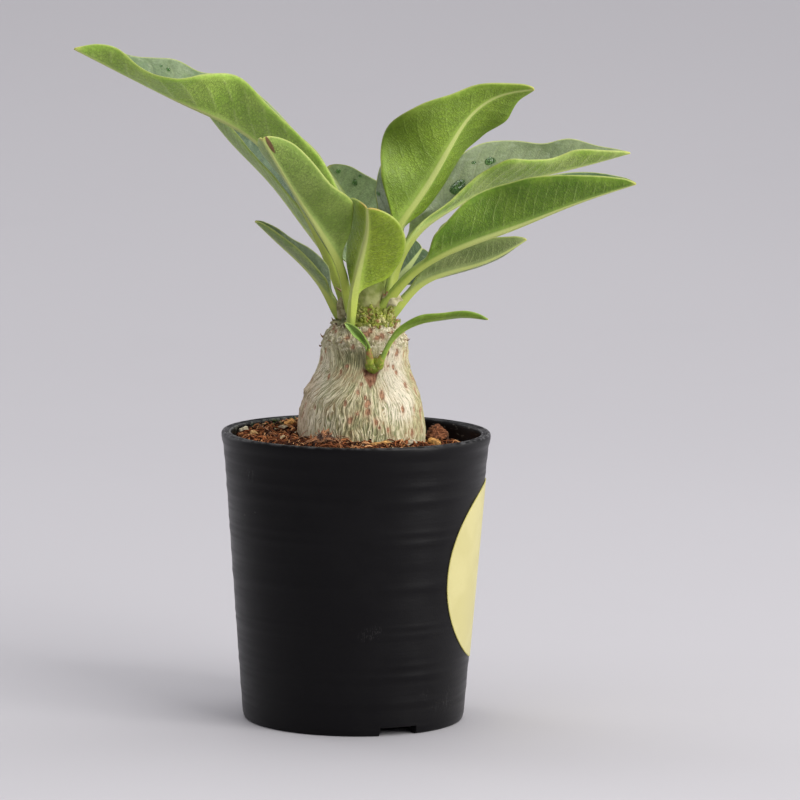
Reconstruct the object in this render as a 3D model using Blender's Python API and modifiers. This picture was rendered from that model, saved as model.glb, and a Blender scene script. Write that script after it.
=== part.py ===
"""Potted pachypodium: a young caudex plant in a tapered black nursery pot.

Blender 4.5, metres, +Z up. The pot stands on z = 0 with its axis on the
origin, and the side that is seen from the front looks towards -Y.
Lengths in the tables are millimetres and angles are degrees.
"""

import math

import bmesh
import bpy
import numpy as np
from mathutils import Vector

MM = 0.001
GAP = 0.3  # clearance between pieces that touch

# ---- pot ------------------------------------------------------------------
RIM_R = 45.0  # No. 3 pot: 90 mm across the rim
POT_H = 96.6
WALL_TOP_R = 44.5
WALL_BOTTOM_R = 37.0
WALL_T = 2.2
RIM_INNER_R = 41.8
LIP_H = 4.6
FLOOR_Z = 5.0
FLOOR_T = 2.0
POT_STEPS = 56
NOTCH_W = 13.0
NOTCH_H = 2.9
NOTCH_AZ = (24.0, 144.0, 264.0)  # from the front, towards +X
DRAIN_R = 3.5
DRAIN_RING_R = 22.0
DRAIN_AZ = (11.0, 71.0, 131.0, 191.0, 251.0, 311.0)
CENTRE_DRAIN_R = 6.0

# ---- label ----------------------------------------------------------------
LABEL_R = 30.0
LABEL_Z = 51.0
LABEL_AZ = 90.0
LABEL_T = 0.25

# ---- potting mix and caudex -----------------------------------------------
MIX_TOP = 94.6
MIX_DROP = 4.6  # the mix has sunk on the right
CAUDEX_X = 1.8  # the plant stands a little off the pot's axis
CAUDEX_STEPS = 36
# radius, height: crown, neck, swollen trunk, soil line, tap root
CAUDEX = [
    (0.0, 141.2), (2.6, 141.0), (5.0, 140.4), (7.0, 139.2), (8.3, 137.2),
    (9.2, 134.9), (10.6, 133.2), (12.3, 131.0), (13.6, 128.4), (14.3, 125.6),
    (14.4, 122.0), (15.2, 117.6), (17.0, 113.2), (19.0, 109.0), (20.3, 104.0),
    (21.0, 98.0), (21.4, 91.0), (21.0, 84.0), (19.0, 76.0), (15.0, 66.0),
    (10.5, 56.0), (6.4, 45.0), (3.4, 34.0), (1.6, 24.0), (0.0, 22.5),
]

# ---- leaves ---------------------------------------------------------------
# mid: midrib points from petiole to tip; up: +1 if the upper face lies on the
# anticlockwise side of half A, looking down the leaf; b0, db: where the blade
# starts and how soon it is full width, as shares of the length; tip: share of
# the length that rounds off; root: length of petiole that runs down into the
# crown; wA, wB: half widths at even stations; A, B: angle of each half
# about the midrib, 0 to the left as seen from the front, 90 towards the front.
LEAVES = {
    "leaf_01": dict(
        mid=[(-4.5, 2, 142), (-9, 4, 153), (-19, 4, 173), (-34, 3, 193), (-55, 1, 204), (-76, -2, 214), (-94, -6, 223)],
        up=1, wp=1.5, b0=0.08, db=0.16, tip=0.05, root=4.0,
        wA=[10, 11.5, 13.5, 14.5, 15.5, 16, 16.5, 17.5, 16.5, 14.5, 11, 8, 1.5], A=[168, 163, 157, 150, 145, 134, 134, 149, 132, 111, 112, 142, 168],
        wB=[10, 11.5, 13.5, 14.5, 16, 16, 17, 17, 15.5, 14.5, 11, 7.5, 1.5], B=[194, 202, 210, 217, 222, 232, 230, 219, 230, 226, 240, 234, 228]),
    "leaf_02": dict(
        mid=[(-3, -6, 141), (-5, -10.5, 150), (-11, -21, 163), (-20, -34, 178), (-31, -48, 197)],
        up=1, wp=1.5, b0=0.16, db=0.2, tip=0.12, root=4.0,
        wA=[9, 3, 8.5, 14.5, 12.5, 9.5, 5], A=[162, 176, 170, 163, 153, 167, 185],
        wB=[9, 10.5, 12.5, 14, 13.5, 10.5, 5], B=[300, 294, 282, 280, 279, 289, 295]),
    "leaf_03": dict(
        mid=[(-4, 6, 139), (-7, 11, 149), (-17, 18, 163), (-30, 28, 178), (-43, 37, 190), (-53, 45, 201)],
        up=1, wp=1.5, b0=0.1, db=0.2, tip=0.08, root=3.0,
        wA=[7, 10, 13, 15, 14, 9.5, 3], A=[146, 106, 99, 97, 101, 111, 129],
        wB=[7, 10, 13, 15, 14, 9.5, 3], B=[210, 214, 215, 215, 214, 210, 201]),
    "leaf_04": dict(
        mid=[(-2, -11, 135), (-1, -13, 144), (1, -18, 155), (3, -26, 165), (3, -36, 174)],
        up=-1, wp=1.5, b0=0.18, db=0.18, tip=0.2, root=3.0,
        wA=[8, 8, 11.5, 13.5, 13, 11.5, 6], A=[0, -50, -62, -58, -58, -58, -58],
        wB=[8, 9, 11.5, 13.5, 13, 10, 6], B=[178, 190, 192, 188, 184, 179, 180]),
    "leaf_05": dict(
        mid=[(7.6, 5.2, 144.5), (14, 8, 165), (22, 9, 177), (30, 8.5, 191), (37, 8, 202), (45, 6.5, 208), (58, 3, 211)],
        up=-1, wp=1.5, b0=0.2, db=0.16, tip=0.05, root=7.0,
        wA=[12, 11, 11, 12.5, 15, 18.5, 21, 21, 18, 11.5, 8, 4, 2], A=[2, 18, 24, 4, 33, 44, 45],
        wB=[12, 8.5, 6, 6.5, 8.5, 11.5, 14, 14.5, 17, 15.5, 12.5, 6, 2], B=[191, 214, 234, 243, 238, 219, 245]),
    "leaf_06": dict(
        mid=[(10, -0.2, 142), (13, 2, 153), (17, 5, 160), (28, 17, 168.5), (43, 26, 175.5), (60, 31, 180), (81, 33.5, 185), (92, 34, 188)],
        up=-1, wp=1.5, b0=0.18, db=0.16, tip=0.05, root=4.0,
        wA=[8, 6, 4, 4, 5, 9, 13, 17.5, 14, 9, 9, 5.5, 1.5], A=[37, 46, 71, 62, 66, 52, 58],
        wB=[8, 7, 7, 9, 11, 12.5, 14.5, 16.5, 15.5, 11.5, 11, 6, 1.5], B=[-11, -36, -40, -26, -38, -36, -58]),
    "leaf_07": dict(
        mid=[(9.5, -5.5, 141), (18, -10, 151), (31, -14, 159), (49, -18, 166), (69, -22, 174.5), (90.5, -26, 182)],
        up=-1, wp=1.5, b0=0.2, db=0.1, tip=0.04, root=5.0,
        wA=[9, 7, 6.5, 8, 10.5, 14, 15, 15, 15, 13, 10, 6, 1.5], A=[29, 56, 36, 14, 27, 36, 31],
        wB=[9, 8, 12.5, 17, 15.5, 10.5, 1.5], B=[-40, -45, -50, -50, -50, -45, -40]),
    "leaf_08": dict(
        mid=[(12.5, 2.5, 137.5), (21, 3.5, 146), (31, 4, 150), (44, 4, 154), (56, 3, 161)],
        up=-1, wp=1.5, b0=0.12, db=0.2, tip=0.06, root=3.0,
        wA=[4, 3.5, 6.5, 8.5, 8.5, 6.5, 2], A=[31, 43, 37, 30, 27, 26, 34],
        wB=[4, 5, 7.5, 9, 8.5, 6.5, 2], B=[-62, -88, -104, -106, -103, -102, -92]),
    "leaf_09": dict(
        mid=[(9.5, 8.5, 140), (14, 15, 146), (18, 28, 150), (22, 44, 154)],
        up=1, wp=1.5, b0=0.15, db=0.2, tip=0.1, root=5.0,
        wA=[5, 7, 8.5, 9, 8.5, 6, 3], A=[20] * 7,
        wB=[5, 7, 8.5, 9, 8.5, 6, 3], B=[160] * 7),
    "leaf_10": dict(
        mid=[(-6.5, -1.5, 137.5), (-11, -3, 145), (-18, -5, 153), (-26, -7, 160), (-34, -8, 167)],
        up=1, wp=1.5, b0=0.12, db=0.2, tip=0.06, root=3.0,
        wA=[4, 5, 6.5, 7.5, 7, 4.5, 1], A=[149, 122, 108, 107, 110, 116, 128],
        wB=[4, 5.5, 6.5, 6.5, 5, 3.5, 1], B=[215, 217, 223, 229, 231, 217, 204]),
    "leaf_11": dict(
        mid=[(1, 8, 140.5), (1, 24, 155), (-3, 41, 169), (-11, 49, 181)],
        up=1, wp=1.5, b0=0.15, db=0.2, tip=0.12, root=3.0,
        wA=[8, 11, 13.5, 14.5, 13.5, 10, 5], A=[20] * 7,
        wB=[8, 11, 13.5, 15, 14.5, 9.5, 5], B=[150, 155, 165, 170, 170, 170, 170]),
    "leaf_12": dict(
        mid=[(4, 5.4, 144), (8.5, 14.5, 156), (12, 23, 170), (17, 30, 186)],
        up=1, wp=1.5, b0=0.18, db=0.2, tip=0.14, root=4.5,
        wA=[6, 7, 8, 8.5, 10.5, 10.5, 5], A=[19, 26, 38, 50, 40, 32, 16],
        wB=[6, 7, 8, 9.5, 10.5, 9.5, 5], B=[161, 148, 131, 120, 120, 131, 149]),
    "shoot_leaf_1": dict(
        mid=[(8, -17, 123), (11, -19, 129), (17, -21, 134), (27, -23, 137), (35, -24, 138), (43, -25, 137)],
        up=-1, wp=0.9, b0=0.1, db=0.2, tip=0.08, root=1.0,
        wA=[1.5, 2, 3, 4, 3.5, 3, 0.5], A=[60, 59, 58, 55, 62, 56, 40],
        wB=[1.5, 2, 3, 4, 3.5, 2.5, 0.5], B=[-100, -90, -97, -103, -108, -106, -101]),
    "shoot_leaf_2": dict(
        mid=[(4, -17, 125), (3, -18, 128), (-1, -21, 133), (-4, -23, 135)],
        up=-1, wp=0.8, b0=0.1, db=0.2, tip=0.1, root=1.0,
        wA=[1, 1.5, 2, 2.5, 2.5, 1.5, 0.5], A=[149, 121, 106, 107, 111, 124, 145],
        wB=[1, 1.5, 2, 2.5, 2.5, 1.5, 0.5], B=[32, 45, 50, 47, 38, 28, 20]),
}
BLADE_T = 0.55
MARGIN_T = 0.35
SMALL_LEAVES = ("leaf_08", "leaf_09", "leaf_10", "shoot_leaf_1", "shoot_leaf_2")

# ---- loose pieces on the potting mix --------------------------------------
# name: centre x, y; size x, y, z; turn; colour
CHIPS = {
    "coco_chunk": (27.6, 16.5, 7.2, 5.6, 6.2, 25, (0.20, 0.09, 0.045, 1)),
    "pumice_1": (-34.3, -1.5, 4.2, 3.6, 2.4, 10, (0.62, 0.46, 0.26, 1)),
    "pumice_2": (8.4, -26.8, 6.4, 4.4, 2.6, 8, (0.66, 0.42, 0.18, 1)),
    "pumice_3": (18.6, -20.8, 3.4, 2.8, 2.2, 140, (0.70, 0.64, 0.50, 1)),
    "pumice_4": (-37.4, 8.4, 3.8, 3.0, 2.2, 55, (0.70, 0.64, 0.50, 1)),
    "pumice_5": (-24.6, -13.0, 4.2, 3.2, 2.2, 100, (0.68, 0.60, 0.44, 1)),
    "pumice_6": (26.4, 3.6, 4.6, 3.6, 3.6, 15, (0.66, 0.44, 0.18, 1)),
    "pumice_7": (-22.4, 23.4, 4.4, 3.6, 3.0, 80, (0.66, 0.44, 0.18, 1)),
    "pumice_8": (-24.4, 10.2, 4.4, 3.6, 2.4, 120, (0.70, 0.64, 0.50, 1)),
    "pumice_9": (-6.0, 32.0, 4.2, 3.6, 2.6, 30, (0.66, 0.50, 0.28, 1)),
}


def material(name, colour, roughness, metallic=0.0):
    mat = bpy.data.materials.new(name)
    mat.use_nodes = True
    shader = mat.node_tree.nodes["Principled BSDF"]
    shader.inputs["Base Color"].default_value = colour
    shader.inputs["Roughness"].default_value = roughness
    shader.inputs["Metallic"].default_value = metallic
    mat.diffuse_color = colour
    return mat


def add_object(name, mesh, collection, mat=None):
    obj = bpy.data.objects.new(name, mesh)
    collection.objects.link(obj)
    if mat:
        mesh.materials.append(mat)
    return obj


def turned(name, profile, steps, collection, mat=None, x=0.0):
    """A body turned about a vertical axis at x, from a profile that runs down its outer side."""
    mesh = bpy.data.meshes.new(name)
    points = [(r * MM, 0.0, z * MM) for r, z in profile]
    mesh.from_pydata(points, [(i, i + 1) for i in range(len(points) - 1)], [])
    obj = add_object(name, mesh, collection, mat)
    obj.location.x = x * MM
    screw = obj.modifiers.new("turn", "SCREW")
    screw.steps = steps
    screw.render_steps = steps
    screw.use_merge_vertices = True
    screw.merge_threshold = 0.00001
    screw.use_smooth_shade = True
    return obj


def made_mesh(obj, collection, mat=None):
    """The object's evaluated shape as a plain mesh object, in its own place."""
    bpy.context.view_layer.update()
    graph = bpy.context.evaluated_depsgraph_get()
    mesh = bpy.data.meshes.new_from_object(obj.evaluated_get(graph))
    shape = bmesh.new()
    shape.from_mesh(mesh)
    bmesh.ops.remove_doubles(shape, verts=shape.verts, dist=0.000005)
    bmesh.ops.recalc_face_normals(shape, faces=shape.faces)
    shape.to_mesh(mesh)
    shape.free()
    name, matrix = obj.name, obj.matrix_world.copy()
    bpy.data.objects.remove(obj)
    mesh.name = name
    mesh.materials.clear()
    made = add_object(name, mesh, collection, mat)
    made.matrix_world = matrix
    return made


def as_cutter(obj):
    obj.hide_render = True
    obj.display_type = "WIRE"
    return obj


def boolean(obj, cutter, operation="DIFFERENCE"):
    modifier = obj.modifiers.new("cut_" + cutter.name, "BOOLEAN")
    modifier.operation = operation
    modifier.solver = "EXACT"
    modifier.object = cutter
    return modifier


def cylinder(name, radius, depth, location, steps, collection):
    shape = bmesh.new()
    bmesh.ops.create_cone(shape, cap_ends=True, segments=steps, radius1=radius * MM, radius2=radius * MM, depth=depth * MM)
    mesh = bpy.data.meshes.new(name)
    shape.to_mesh(mesh)
    shape.free()
    obj = add_object(name, mesh, collection)
    obj.location = [c * MM for c in location]
    return obj


def towards(azimuth, radius):
    a = math.radians(azimuth)
    return radius * math.sin(a), -radius * math.cos(a)


def wall_r(z):
    return WALL_BOTTOM_R + (WALL_TOP_R - WALL_BOTTOM_R) * z / POT_H


# ---- pot ------------------------------------------------------------------
def pot_profile():
    inner_bottom = wall_r(FLOOR_Z + FLOOR_T) - WALL_T
    inner_top = wall_r(POT_H - LIP_H) - WALL_T
    floor_top = FLOOR_Z + FLOOR_T
    foot_in = WALL_BOTTOM_R - 3.0
    return [
        (0.0, floor_top), (inner_bottom - 2.0, floor_top),
        (inner_bottom - 0.5, floor_top + 0.6), (inner_bottom, floor_top + 2.2),
        (inner_top, POT_H - LIP_H), (RIM_INNER_R, POT_H - 2.6), (RIM_INNER_R, POT_H - 0.5),
        (RIM_INNER_R + 0.25, POT_H - 0.1), (RIM_INNER_R + 0.7, POT_H), (RIM_INNER_R + 1.05, POT_H - 0.3),
        (RIM_INNER_R + 1.4, POT_H - 0.3), (RIM_INNER_R + 1.7, POT_H - 0.05), (RIM_R - 0.55, POT_H - 0.1),
        (RIM_R - 0.15, POT_H - 0.5), (RIM_R, POT_H - 1.1), (RIM_R - 0.2, POT_H - 2.6),
        (wall_r(POT_H - LIP_H) + 0.2, POT_H - LIP_H), (wall_r(60.0), 60.0), (wall_r(30.0), 30.0),
        (wall_r(2.0), 2.0), (WALL_BOTTOM_R - 0.25, 0.8), (WALL_BOTTOM_R - 0.8, 0.0),
        (foot_in, 0.0), (foot_in - 0.5, FLOOR_Z - 0.8), (foot_in - 1.2, FLOOR_Z),
        (0.0, FLOOR_Z),
    ]


def build_pot(parts, cutters):
    mat = material("pot_plastic", (0.018, 0.018, 0.019, 1), 0.42)
    pot = made_mesh(turned("pot", pot_profile(), POT_STEPS, parts), parts, mat)
    for i, azimuth in enumerate(NOTCH_AZ):
        x, y = towards(azimuth, WALL_BOTTOM_R - 1.5)
        shape = bmesh.new()
        bmesh.ops.create_cube(shape, size=1.0)
        for v in shape.verts:
            v.co = Vector((v.co.x * (NOTCH_W - 2.0 * (v.co.z > 0)) * MM, v.co.y * 9.0 * MM, v.co.z * 2 * NOTCH_H * MM))
        mesh = bpy.data.meshes.new(f"foot_notch_{i + 1}")
        shape.to_mesh(mesh)
        shape.free()
        notch = as_cutter(add_object(f"foot_notch_{i + 1}", mesh, cutters))
        notch.location = (x * MM, y * MM, 0.0)
        notch.rotation_euler.z = math.radians(azimuth)
        boolean(pot, notch)
    centre = as_cutter(cylinder("centre_drain_cut", CENTRE_DRAIN_R, 12.0, (0, 0, FLOOR_Z + 1.0), 20, cutters))
    boolean(pot, centre)
    for i, azimuth in enumerate(DRAIN_AZ):
        x, y = towards(azimuth, DRAIN_RING_R)
        boolean(pot, as_cutter(cylinder(f"drain_cut_{i + 1}", DRAIN_R, 12.0, (x, y, FLOOR_Z + 1.0), 12, cutters)))
    return pot


# ---- label ----------------------------------------------------------------
def build_label(parts):
    """A round sticker bent onto the conical wall."""
    rings, steps = 5, 44
    slope = math.atan2(WALL_TOP_R - WALL_BOTTOM_R, POT_H)
    rows = [[(0.0, 0.0)]]
    for k in range(1, rings + 1):
        r = LABEL_R * k / rings
        rows.append([(r * math.cos(2 * math.pi * i / steps), r * math.sin(2 * math.pi * i / steps)) for i in range(steps)])

    def place(u, v, out):
        z = LABEL_Z + v * math.cos(slope)
        r = wall_r(z) + GAP + out
        x, y = towards(LABEL_AZ + math.degrees(u / wall_r(LABEL_Z)), r)
        return x * MM, y * MM, z * MM

    points, faces = [], []
    for out in (LABEL_T, 0.0):
        for row in rows:
            points += [place(u, v, out) for u, v in row]
    half = len(points) // 2

    def at(k, i):
        return 0 if k == 0 else 1 + (k - 1) * steps + i % steps

    for k in range(rings):
        for i in range(steps):
            face = [at(k, i), at(k + 1, i), at(k + 1, i + 1), at(k, i + 1)]
            if k == 0:
                face = face[:3]
            faces.append(face)
            faces.append([half + v for v in reversed(face)])
    for i in range(steps):
        a, b = at(rings, i), at(rings, i + 1)
        faces.append([b, a, half + a, half + b])
    mesh = bpy.data.meshes.new("label")
    mesh.from_pydata(points, [], faces)
    mesh.shade_smooth()
    mesh.set_sharp_from_angle(angle=math.radians(40))
    return add_object("label", mesh, parts, material("label_paper", (0.82, 0.74, 0.25, 1), 0.45))


# ---- caudex ---------------------------------------------------------------
def grown(profile, by):
    """The profile moved outwards by a distance along its own normals."""
    out = []
    for i, (r, z) in enumerate(profile):
        r0, z0 = profile[max(i - 1, 0)]
        r1, z1 = profile[min(i + 1, len(profile) - 1)]
        length = math.hypot(r1 - r0, z1 - z0)
        nr, nz = -(z1 - z0) / length, (r1 - r0) / length
        if r == 0.0:
            nr, nz = 0.0, 1.0 if i == 0 else -1.0
        out.append((max(r + nr * by, 0.0), z + nz * by))
    return out


def build_caudex(parts, cutters):
    mat = material("caudex_bark", (0.42, 0.42, 0.30, 1), 0.8)
    caudex = made_mesh(turned("caudex", CAUDEX, CAUDEX_STEPS, parts, x=CAUDEX_X), parts, mat)
    caudex.data.shade_smooth()
    clear = made_mesh(turned("caudex_clearance", grown(CAUDEX, 1.3 * GAP), CAUDEX_STEPS, cutters, x=CAUDEX_X), cutters)
    return caudex, as_cutter(clear)


def mix_drop(x, y):
    """How far the mix has sunk below its usual level at a point, in mm."""
    t = min(max((0.95 * x + 0.3 * y - 12.0) / 14.0, 0.0), 1.0)
    return MIX_DROP * t * t * (3 - 2 * t)


def build_mix(parts, clear):
    """The root ball: it fills the pot from the floor to a little below the rim."""
    low = FLOOR_Z + FLOOR_T + GAP
    radius = lambda z: wall_r(z) - WALL_T - 2 * GAP
    profile = [
        (0.0, MIX_TOP), (20.0, MIX_TOP), (24.0, MIX_TOP), (28.0, MIX_TOP), (32.0, MIX_TOP), (36.0, MIX_TOP - 0.1),
        (39.0, MIX_TOP - 0.5), (40.4, MIX_TOP - 1.3), (41.0, MIX_TOP - 3.0), (41.0, MIX_TOP - 8.0),
        (radius(80.0), 80.0), (radius(40.0), 40.0), (radius(12.0), 12.0), (radius(12.0) - 1.2, low + 1.4),
        (radius(12.0) - 3.6, low), (12.0, low), (0.0, low),
    ]
    mix = made_mesh(turned("potting_mix", profile, 40, parts), parts, material("potting_mix", (0.10, 0.055, 0.03, 1), 0.95))
    for v in mix.data.vertices:
        if v.co.z > (MIX_TOP - 3.5) * MM:
            v.co.z -= mix_drop(v.co.x / MM, v.co.y / MM) * MM
    boolean(mix, clear)
    return mix


def build_side_shoot(parts, clear):
    """The green stub low on the neck that carries two small leaves."""
    curve = bpy.data.curves.new("side_shoot", "CURVE")
    curve.dimensions = "3D"
    curve.bevel_depth = 2.3 * MM
    curve.bevel_resolution = 2
    curve.use_fill_caps = True
    spline = curve.splines.new("POLY")
    points = [(4.3, -11.5, 118.5, 1.0), (4.9, -15.4, 119.5, 1.08), (5.4, -17.0, 120.5, 1.05), (5.9, -17.6, 121.4, 0.8), (6.1, -17.7, 122.0, 0.45)]
    spline.points.add(len(points) - 1)
    for point, (x, y, z, radius) in zip(spline.points, points):
        point.co = (x * MM, y * MM, z * MM, 1.0)
        point.radius = radius
    obj = bpy.data.objects.new("side_shoot", curve)
    parts.objects.link(obj)
    shoot = made_mesh(obj, parts, material("side_shoot_green", (0.30, 0.36, 0.09, 1), 0.6))
    boolean(shoot, clear)
    return shoot


# ---- leaves ---------------------------------------------------------------
def natural_spline(points, count):
    """A natural cubic spline through the points, resampled evenly along its length."""
    p = np.array(points, float)
    t = np.concatenate([[0], np.cumsum(np.linalg.norm(np.diff(p, axis=0), axis=1))])
    n, h = len(p), np.diff(t)
    system, right = np.zeros((n, n)), np.zeros((n, 3))
    system[0, 0] = system[-1, -1] = 1
    for i in range(1, n - 1):
        system[i, i - 1], system[i, i], system[i, i + 1] = h[i - 1], 2 * (h[i - 1] + h[i]), h[i]
        right[i] = 6 * ((p[i + 1] - p[i]) / h[i] - (p[i] - p[i - 1]) / h[i - 1])
    second = np.linalg.solve(system, right)
    at = np.linspace(0, t[-1], 400)
    i = np.clip(np.searchsorted(t, at, side="right") - 1, 0, n - 2)
    a, b, hh = (t[i + 1] - at)[:, None], (at - t[i])[:, None], h[i][:, None]
    q = (second[i] * a**3 + second[i + 1] * b**3) / (6 * hh)
    q += (p[i] / hh - second[i] * hh / 6) * a + (p[i + 1] / hh - second[i + 1] * hh / 6) * b
    run = np.concatenate([[0], np.cumsum(np.linalg.norm(np.diff(q, axis=0), axis=1))])
    even = np.linspace(0, run[-1], count)
    return np.stack([np.interp(even, run, q[:, k]) for k in range(3)], 1), run[-1]


def ease(x, values):
    """Values at even stations joined by a smooth curve."""
    y = np.array(values, float)
    n = len(y) - 1
    slope = np.gradient(y) * n
    x = np.clip(x, 0, 1) * n
    i = np.minimum(x.astype(int), n - 1)
    u = x - i
    return (y[i] * (2 * u**3 - 3 * u**2 + 1) + slope[i] / n * (u**3 - 2 * u**2 + u)
            + y[i + 1] * (3 * u**2 - 2 * u**3) + slope[i + 1] / n * (u**3 - u**2))


def half_width(s, leaf, widths):
    u = np.clip((s - (1 - leaf["tip"])) / leaf["tip"], 0, 1)
    w = np.maximum(ease(s, widths), 0.3) * np.sqrt(np.maximum(1 - u**2, 0.0))
    v = np.clip((s - leaf["b0"]) / leaf["db"], 0, 1)
    v = v * v * (3 - 2 * v)
    return leaf["wp"] * (1 - v) + w * v


def leaf_mesh(name, leaf, stations, across):
    """A closed loft from a round petiole to a thin folded blade."""
    s = np.concatenate([np.linspace(0, 1, stations)[:-1], [0.985]])
    fine, _ = natural_spline(leaf["mid"], 401)
    middle = np.stack([np.interp(s * 400, np.arange(401), fine[:, k]) for k in range(3)], 1)
    tangent = np.gradient(fine, axis=0)
    tangent = np.stack([np.interp(s * 400, np.arange(401), tangent[:, k]) for k in range(3)], 1)
    tangent /= np.linalg.norm(tangent, axis=1)[:, None]
    front = np.array([0.0, -1.0, 0.0])
    normal = front - (tangent @ front)[:, None] * tangent
    normal /= np.linalg.norm(normal, axis=1)[:, None]
    side = np.cross(normal, tangent)
    up = leaf["up"]
    shares = np.linspace(1, 0, across + 1)
    rings = []
    t_mid = np.interp(s, [0, 0.25, 0.6, 1], [1.6 * leaf["wp"], 1.25 * leaf["wp"], 0.8 * leaf["wp"], 0.45])

    def direction(angle):
        a = np.radians(angle)
        return np.cos(a)[:, None] * side + np.sin(a)[:, None] * normal

    dirs = {"A": direction(ease(s, leaf["A"])), "B": direction(ease(s, leaf["B"]))}
    ups = {"A": direction(ease(s, leaf["A"]) + 90 * up), "B": direction(ease(s, leaf["B"]) - 90 * up)}
    wide = {"A": half_width(s, leaf, leaf["wA"]), "B": half_width(s, leaf, leaf["wB"])}
    centre_up = ups["A"] + ups["B"]
    centre_up /= np.maximum(np.linalg.norm(centre_up, axis=1), 1e-6)[:, None]

    def thickness(p, half):
        blade = MARGIN_T + (BLADE_T - MARGIN_T) * min(1.0, 2 * (1 - p))
        return blade + (t_mid - blade) * np.exp(-((p * wide[half] / (0.9 * leaf["wp"])) ** 2))

    upper, lower = [], []
    for half, order in (("A", shares), ("B", shares[::-1][1:])):
        for p in order:
            top = middle + dirs[half] * (wide[half] * p)[:, None]
            down = centre_up if p == 0 else ups[half]
            upper.append(top)
            lower.append(top - down * thickness(p, half)[:, None])
    loop = upper + lower[::-1]
    rings = np.stack(loop, 1)  # station, point, xyz
    root = rings[0] - tangent[0] * leaf["root"]
    rings = np.concatenate([root[None], rings])
    count = rings.shape[1]
    points = (rings.reshape(-1, 3) * MM).tolist()
    faces = []
    for k in range(len(rings) - 1):
        for i in range(count):
            j = (i + 1) % count
            faces.append((k * count + i, k * count + j, (k + 1) * count + j, (k + 1) * count + i))
    last = (len(rings) - 1) * count
    half = count // 2
    for k, flip in ((0, True), (last, False)):
        for i in range(half - 1):
            face = (k + i, k + i + 1, k + count - 2 - i, k + count - 1 - i)
            faces.append(tuple(reversed(face)) if flip else face)
    mesh = bpy.data.meshes.new(name)
    mesh.from_pydata(points, [], faces)
    shape = bmesh.new()
    shape.from_mesh(mesh)
    bmesh.ops.triangulate(shape, faces=shape.faces)
    bmesh.ops.recalc_face_normals(shape, faces=shape.faces)
    shape.to_mesh(mesh)
    shape.free()
    mesh.shade_smooth()
    return mesh


def build_leaves(parts, clear):
    mat = material("leaf", (0.16, 0.28, 0.055, 1), 0.5)
    small = material("shoot_leaf", (0.15, 0.24, 0.04, 1), 0.5)
    made = {}
    for name, leaf in LEAVES.items():
        fine = name not in SMALL_LEAVES
        mesh = leaf_mesh(name, leaf, 15 if fine else 11, 3 if fine else 2)
        shoot = name.startswith("shoot")
        made[name] = add_object(name, mesh, parts, small if shoot else mat)
        if not shoot:
            boolean(made[name], clear)
    return made


# ---- loose pieces ---------------------------------------------------------
def build_chips(parts):
    rng = np.random.default_rng(7)
    for name, (x, y, sx, sy, sz, turn, colour) in CHIPS.items():
        shape = bmesh.new()
        bmesh.ops.create_icosphere(shape, subdivisions=2, radius=0.5)
        for v in shape.verts:
            jitter = 1 + 0.16 * (rng.random() - 0.5)
            v.co = Vector((v.co.x * sx * jitter, v.co.y * sy * jitter, v.co.z * sz * jitter)) * MM
        low = min(v.co.z for v in shape.verts)
        mesh = bpy.data.meshes.new(name)
        shape.to_mesh(mesh)
        shape.free()
        chip = add_object(name, mesh, parts, material(name, colour, 0.85))
        reach = 0.35 * max(sx, sy)
        level = MIX_TOP - min(mix_drop(x - reach, y - reach), mix_drop(x, y), mix_drop(x - reach, y))
        chip.location = (x * MM, y * MM, (level + 0.05 + GAP) * MM - low)
        chip.rotation_euler.z = math.radians(turn)


def main():
    for obj in list(bpy.data.objects):
        bpy.data.objects.remove(obj)
    scene = bpy.context.scene.collection
    parts = bpy.data.collections.new("potted_pachypodium")
    cutters = bpy.data.collections.new("cutters")
    scene.children.link(parts)
    scene.children.link(cutters)
    build_pot(parts, cutters)
    build_label(parts)
    _, clear = build_caudex(parts, cutters)
    build_mix(parts, clear)
    build_side_shoot(parts, clear)
    build_leaves(parts, clear)
    build_chips(parts)


main()
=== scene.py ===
"""The looks of the potted pachypodium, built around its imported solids. Lengths in the tables are millimetres."""

import math

import bpy
import numpy as np
from mathutils import Matrix, Vector


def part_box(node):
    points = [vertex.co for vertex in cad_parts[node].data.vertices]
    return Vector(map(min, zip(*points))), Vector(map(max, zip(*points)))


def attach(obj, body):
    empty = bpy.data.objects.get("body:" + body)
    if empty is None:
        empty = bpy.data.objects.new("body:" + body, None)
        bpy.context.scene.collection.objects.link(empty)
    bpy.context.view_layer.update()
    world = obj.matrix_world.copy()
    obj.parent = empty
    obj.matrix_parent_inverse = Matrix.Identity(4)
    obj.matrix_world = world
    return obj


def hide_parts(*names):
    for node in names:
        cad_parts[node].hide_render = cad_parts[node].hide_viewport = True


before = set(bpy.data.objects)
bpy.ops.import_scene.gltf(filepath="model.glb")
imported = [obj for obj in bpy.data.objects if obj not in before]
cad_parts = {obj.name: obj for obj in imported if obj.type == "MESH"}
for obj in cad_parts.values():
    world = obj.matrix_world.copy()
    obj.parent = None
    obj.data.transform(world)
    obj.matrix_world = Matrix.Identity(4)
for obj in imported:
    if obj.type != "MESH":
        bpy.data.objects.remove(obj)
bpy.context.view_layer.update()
MM = 0.001

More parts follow.
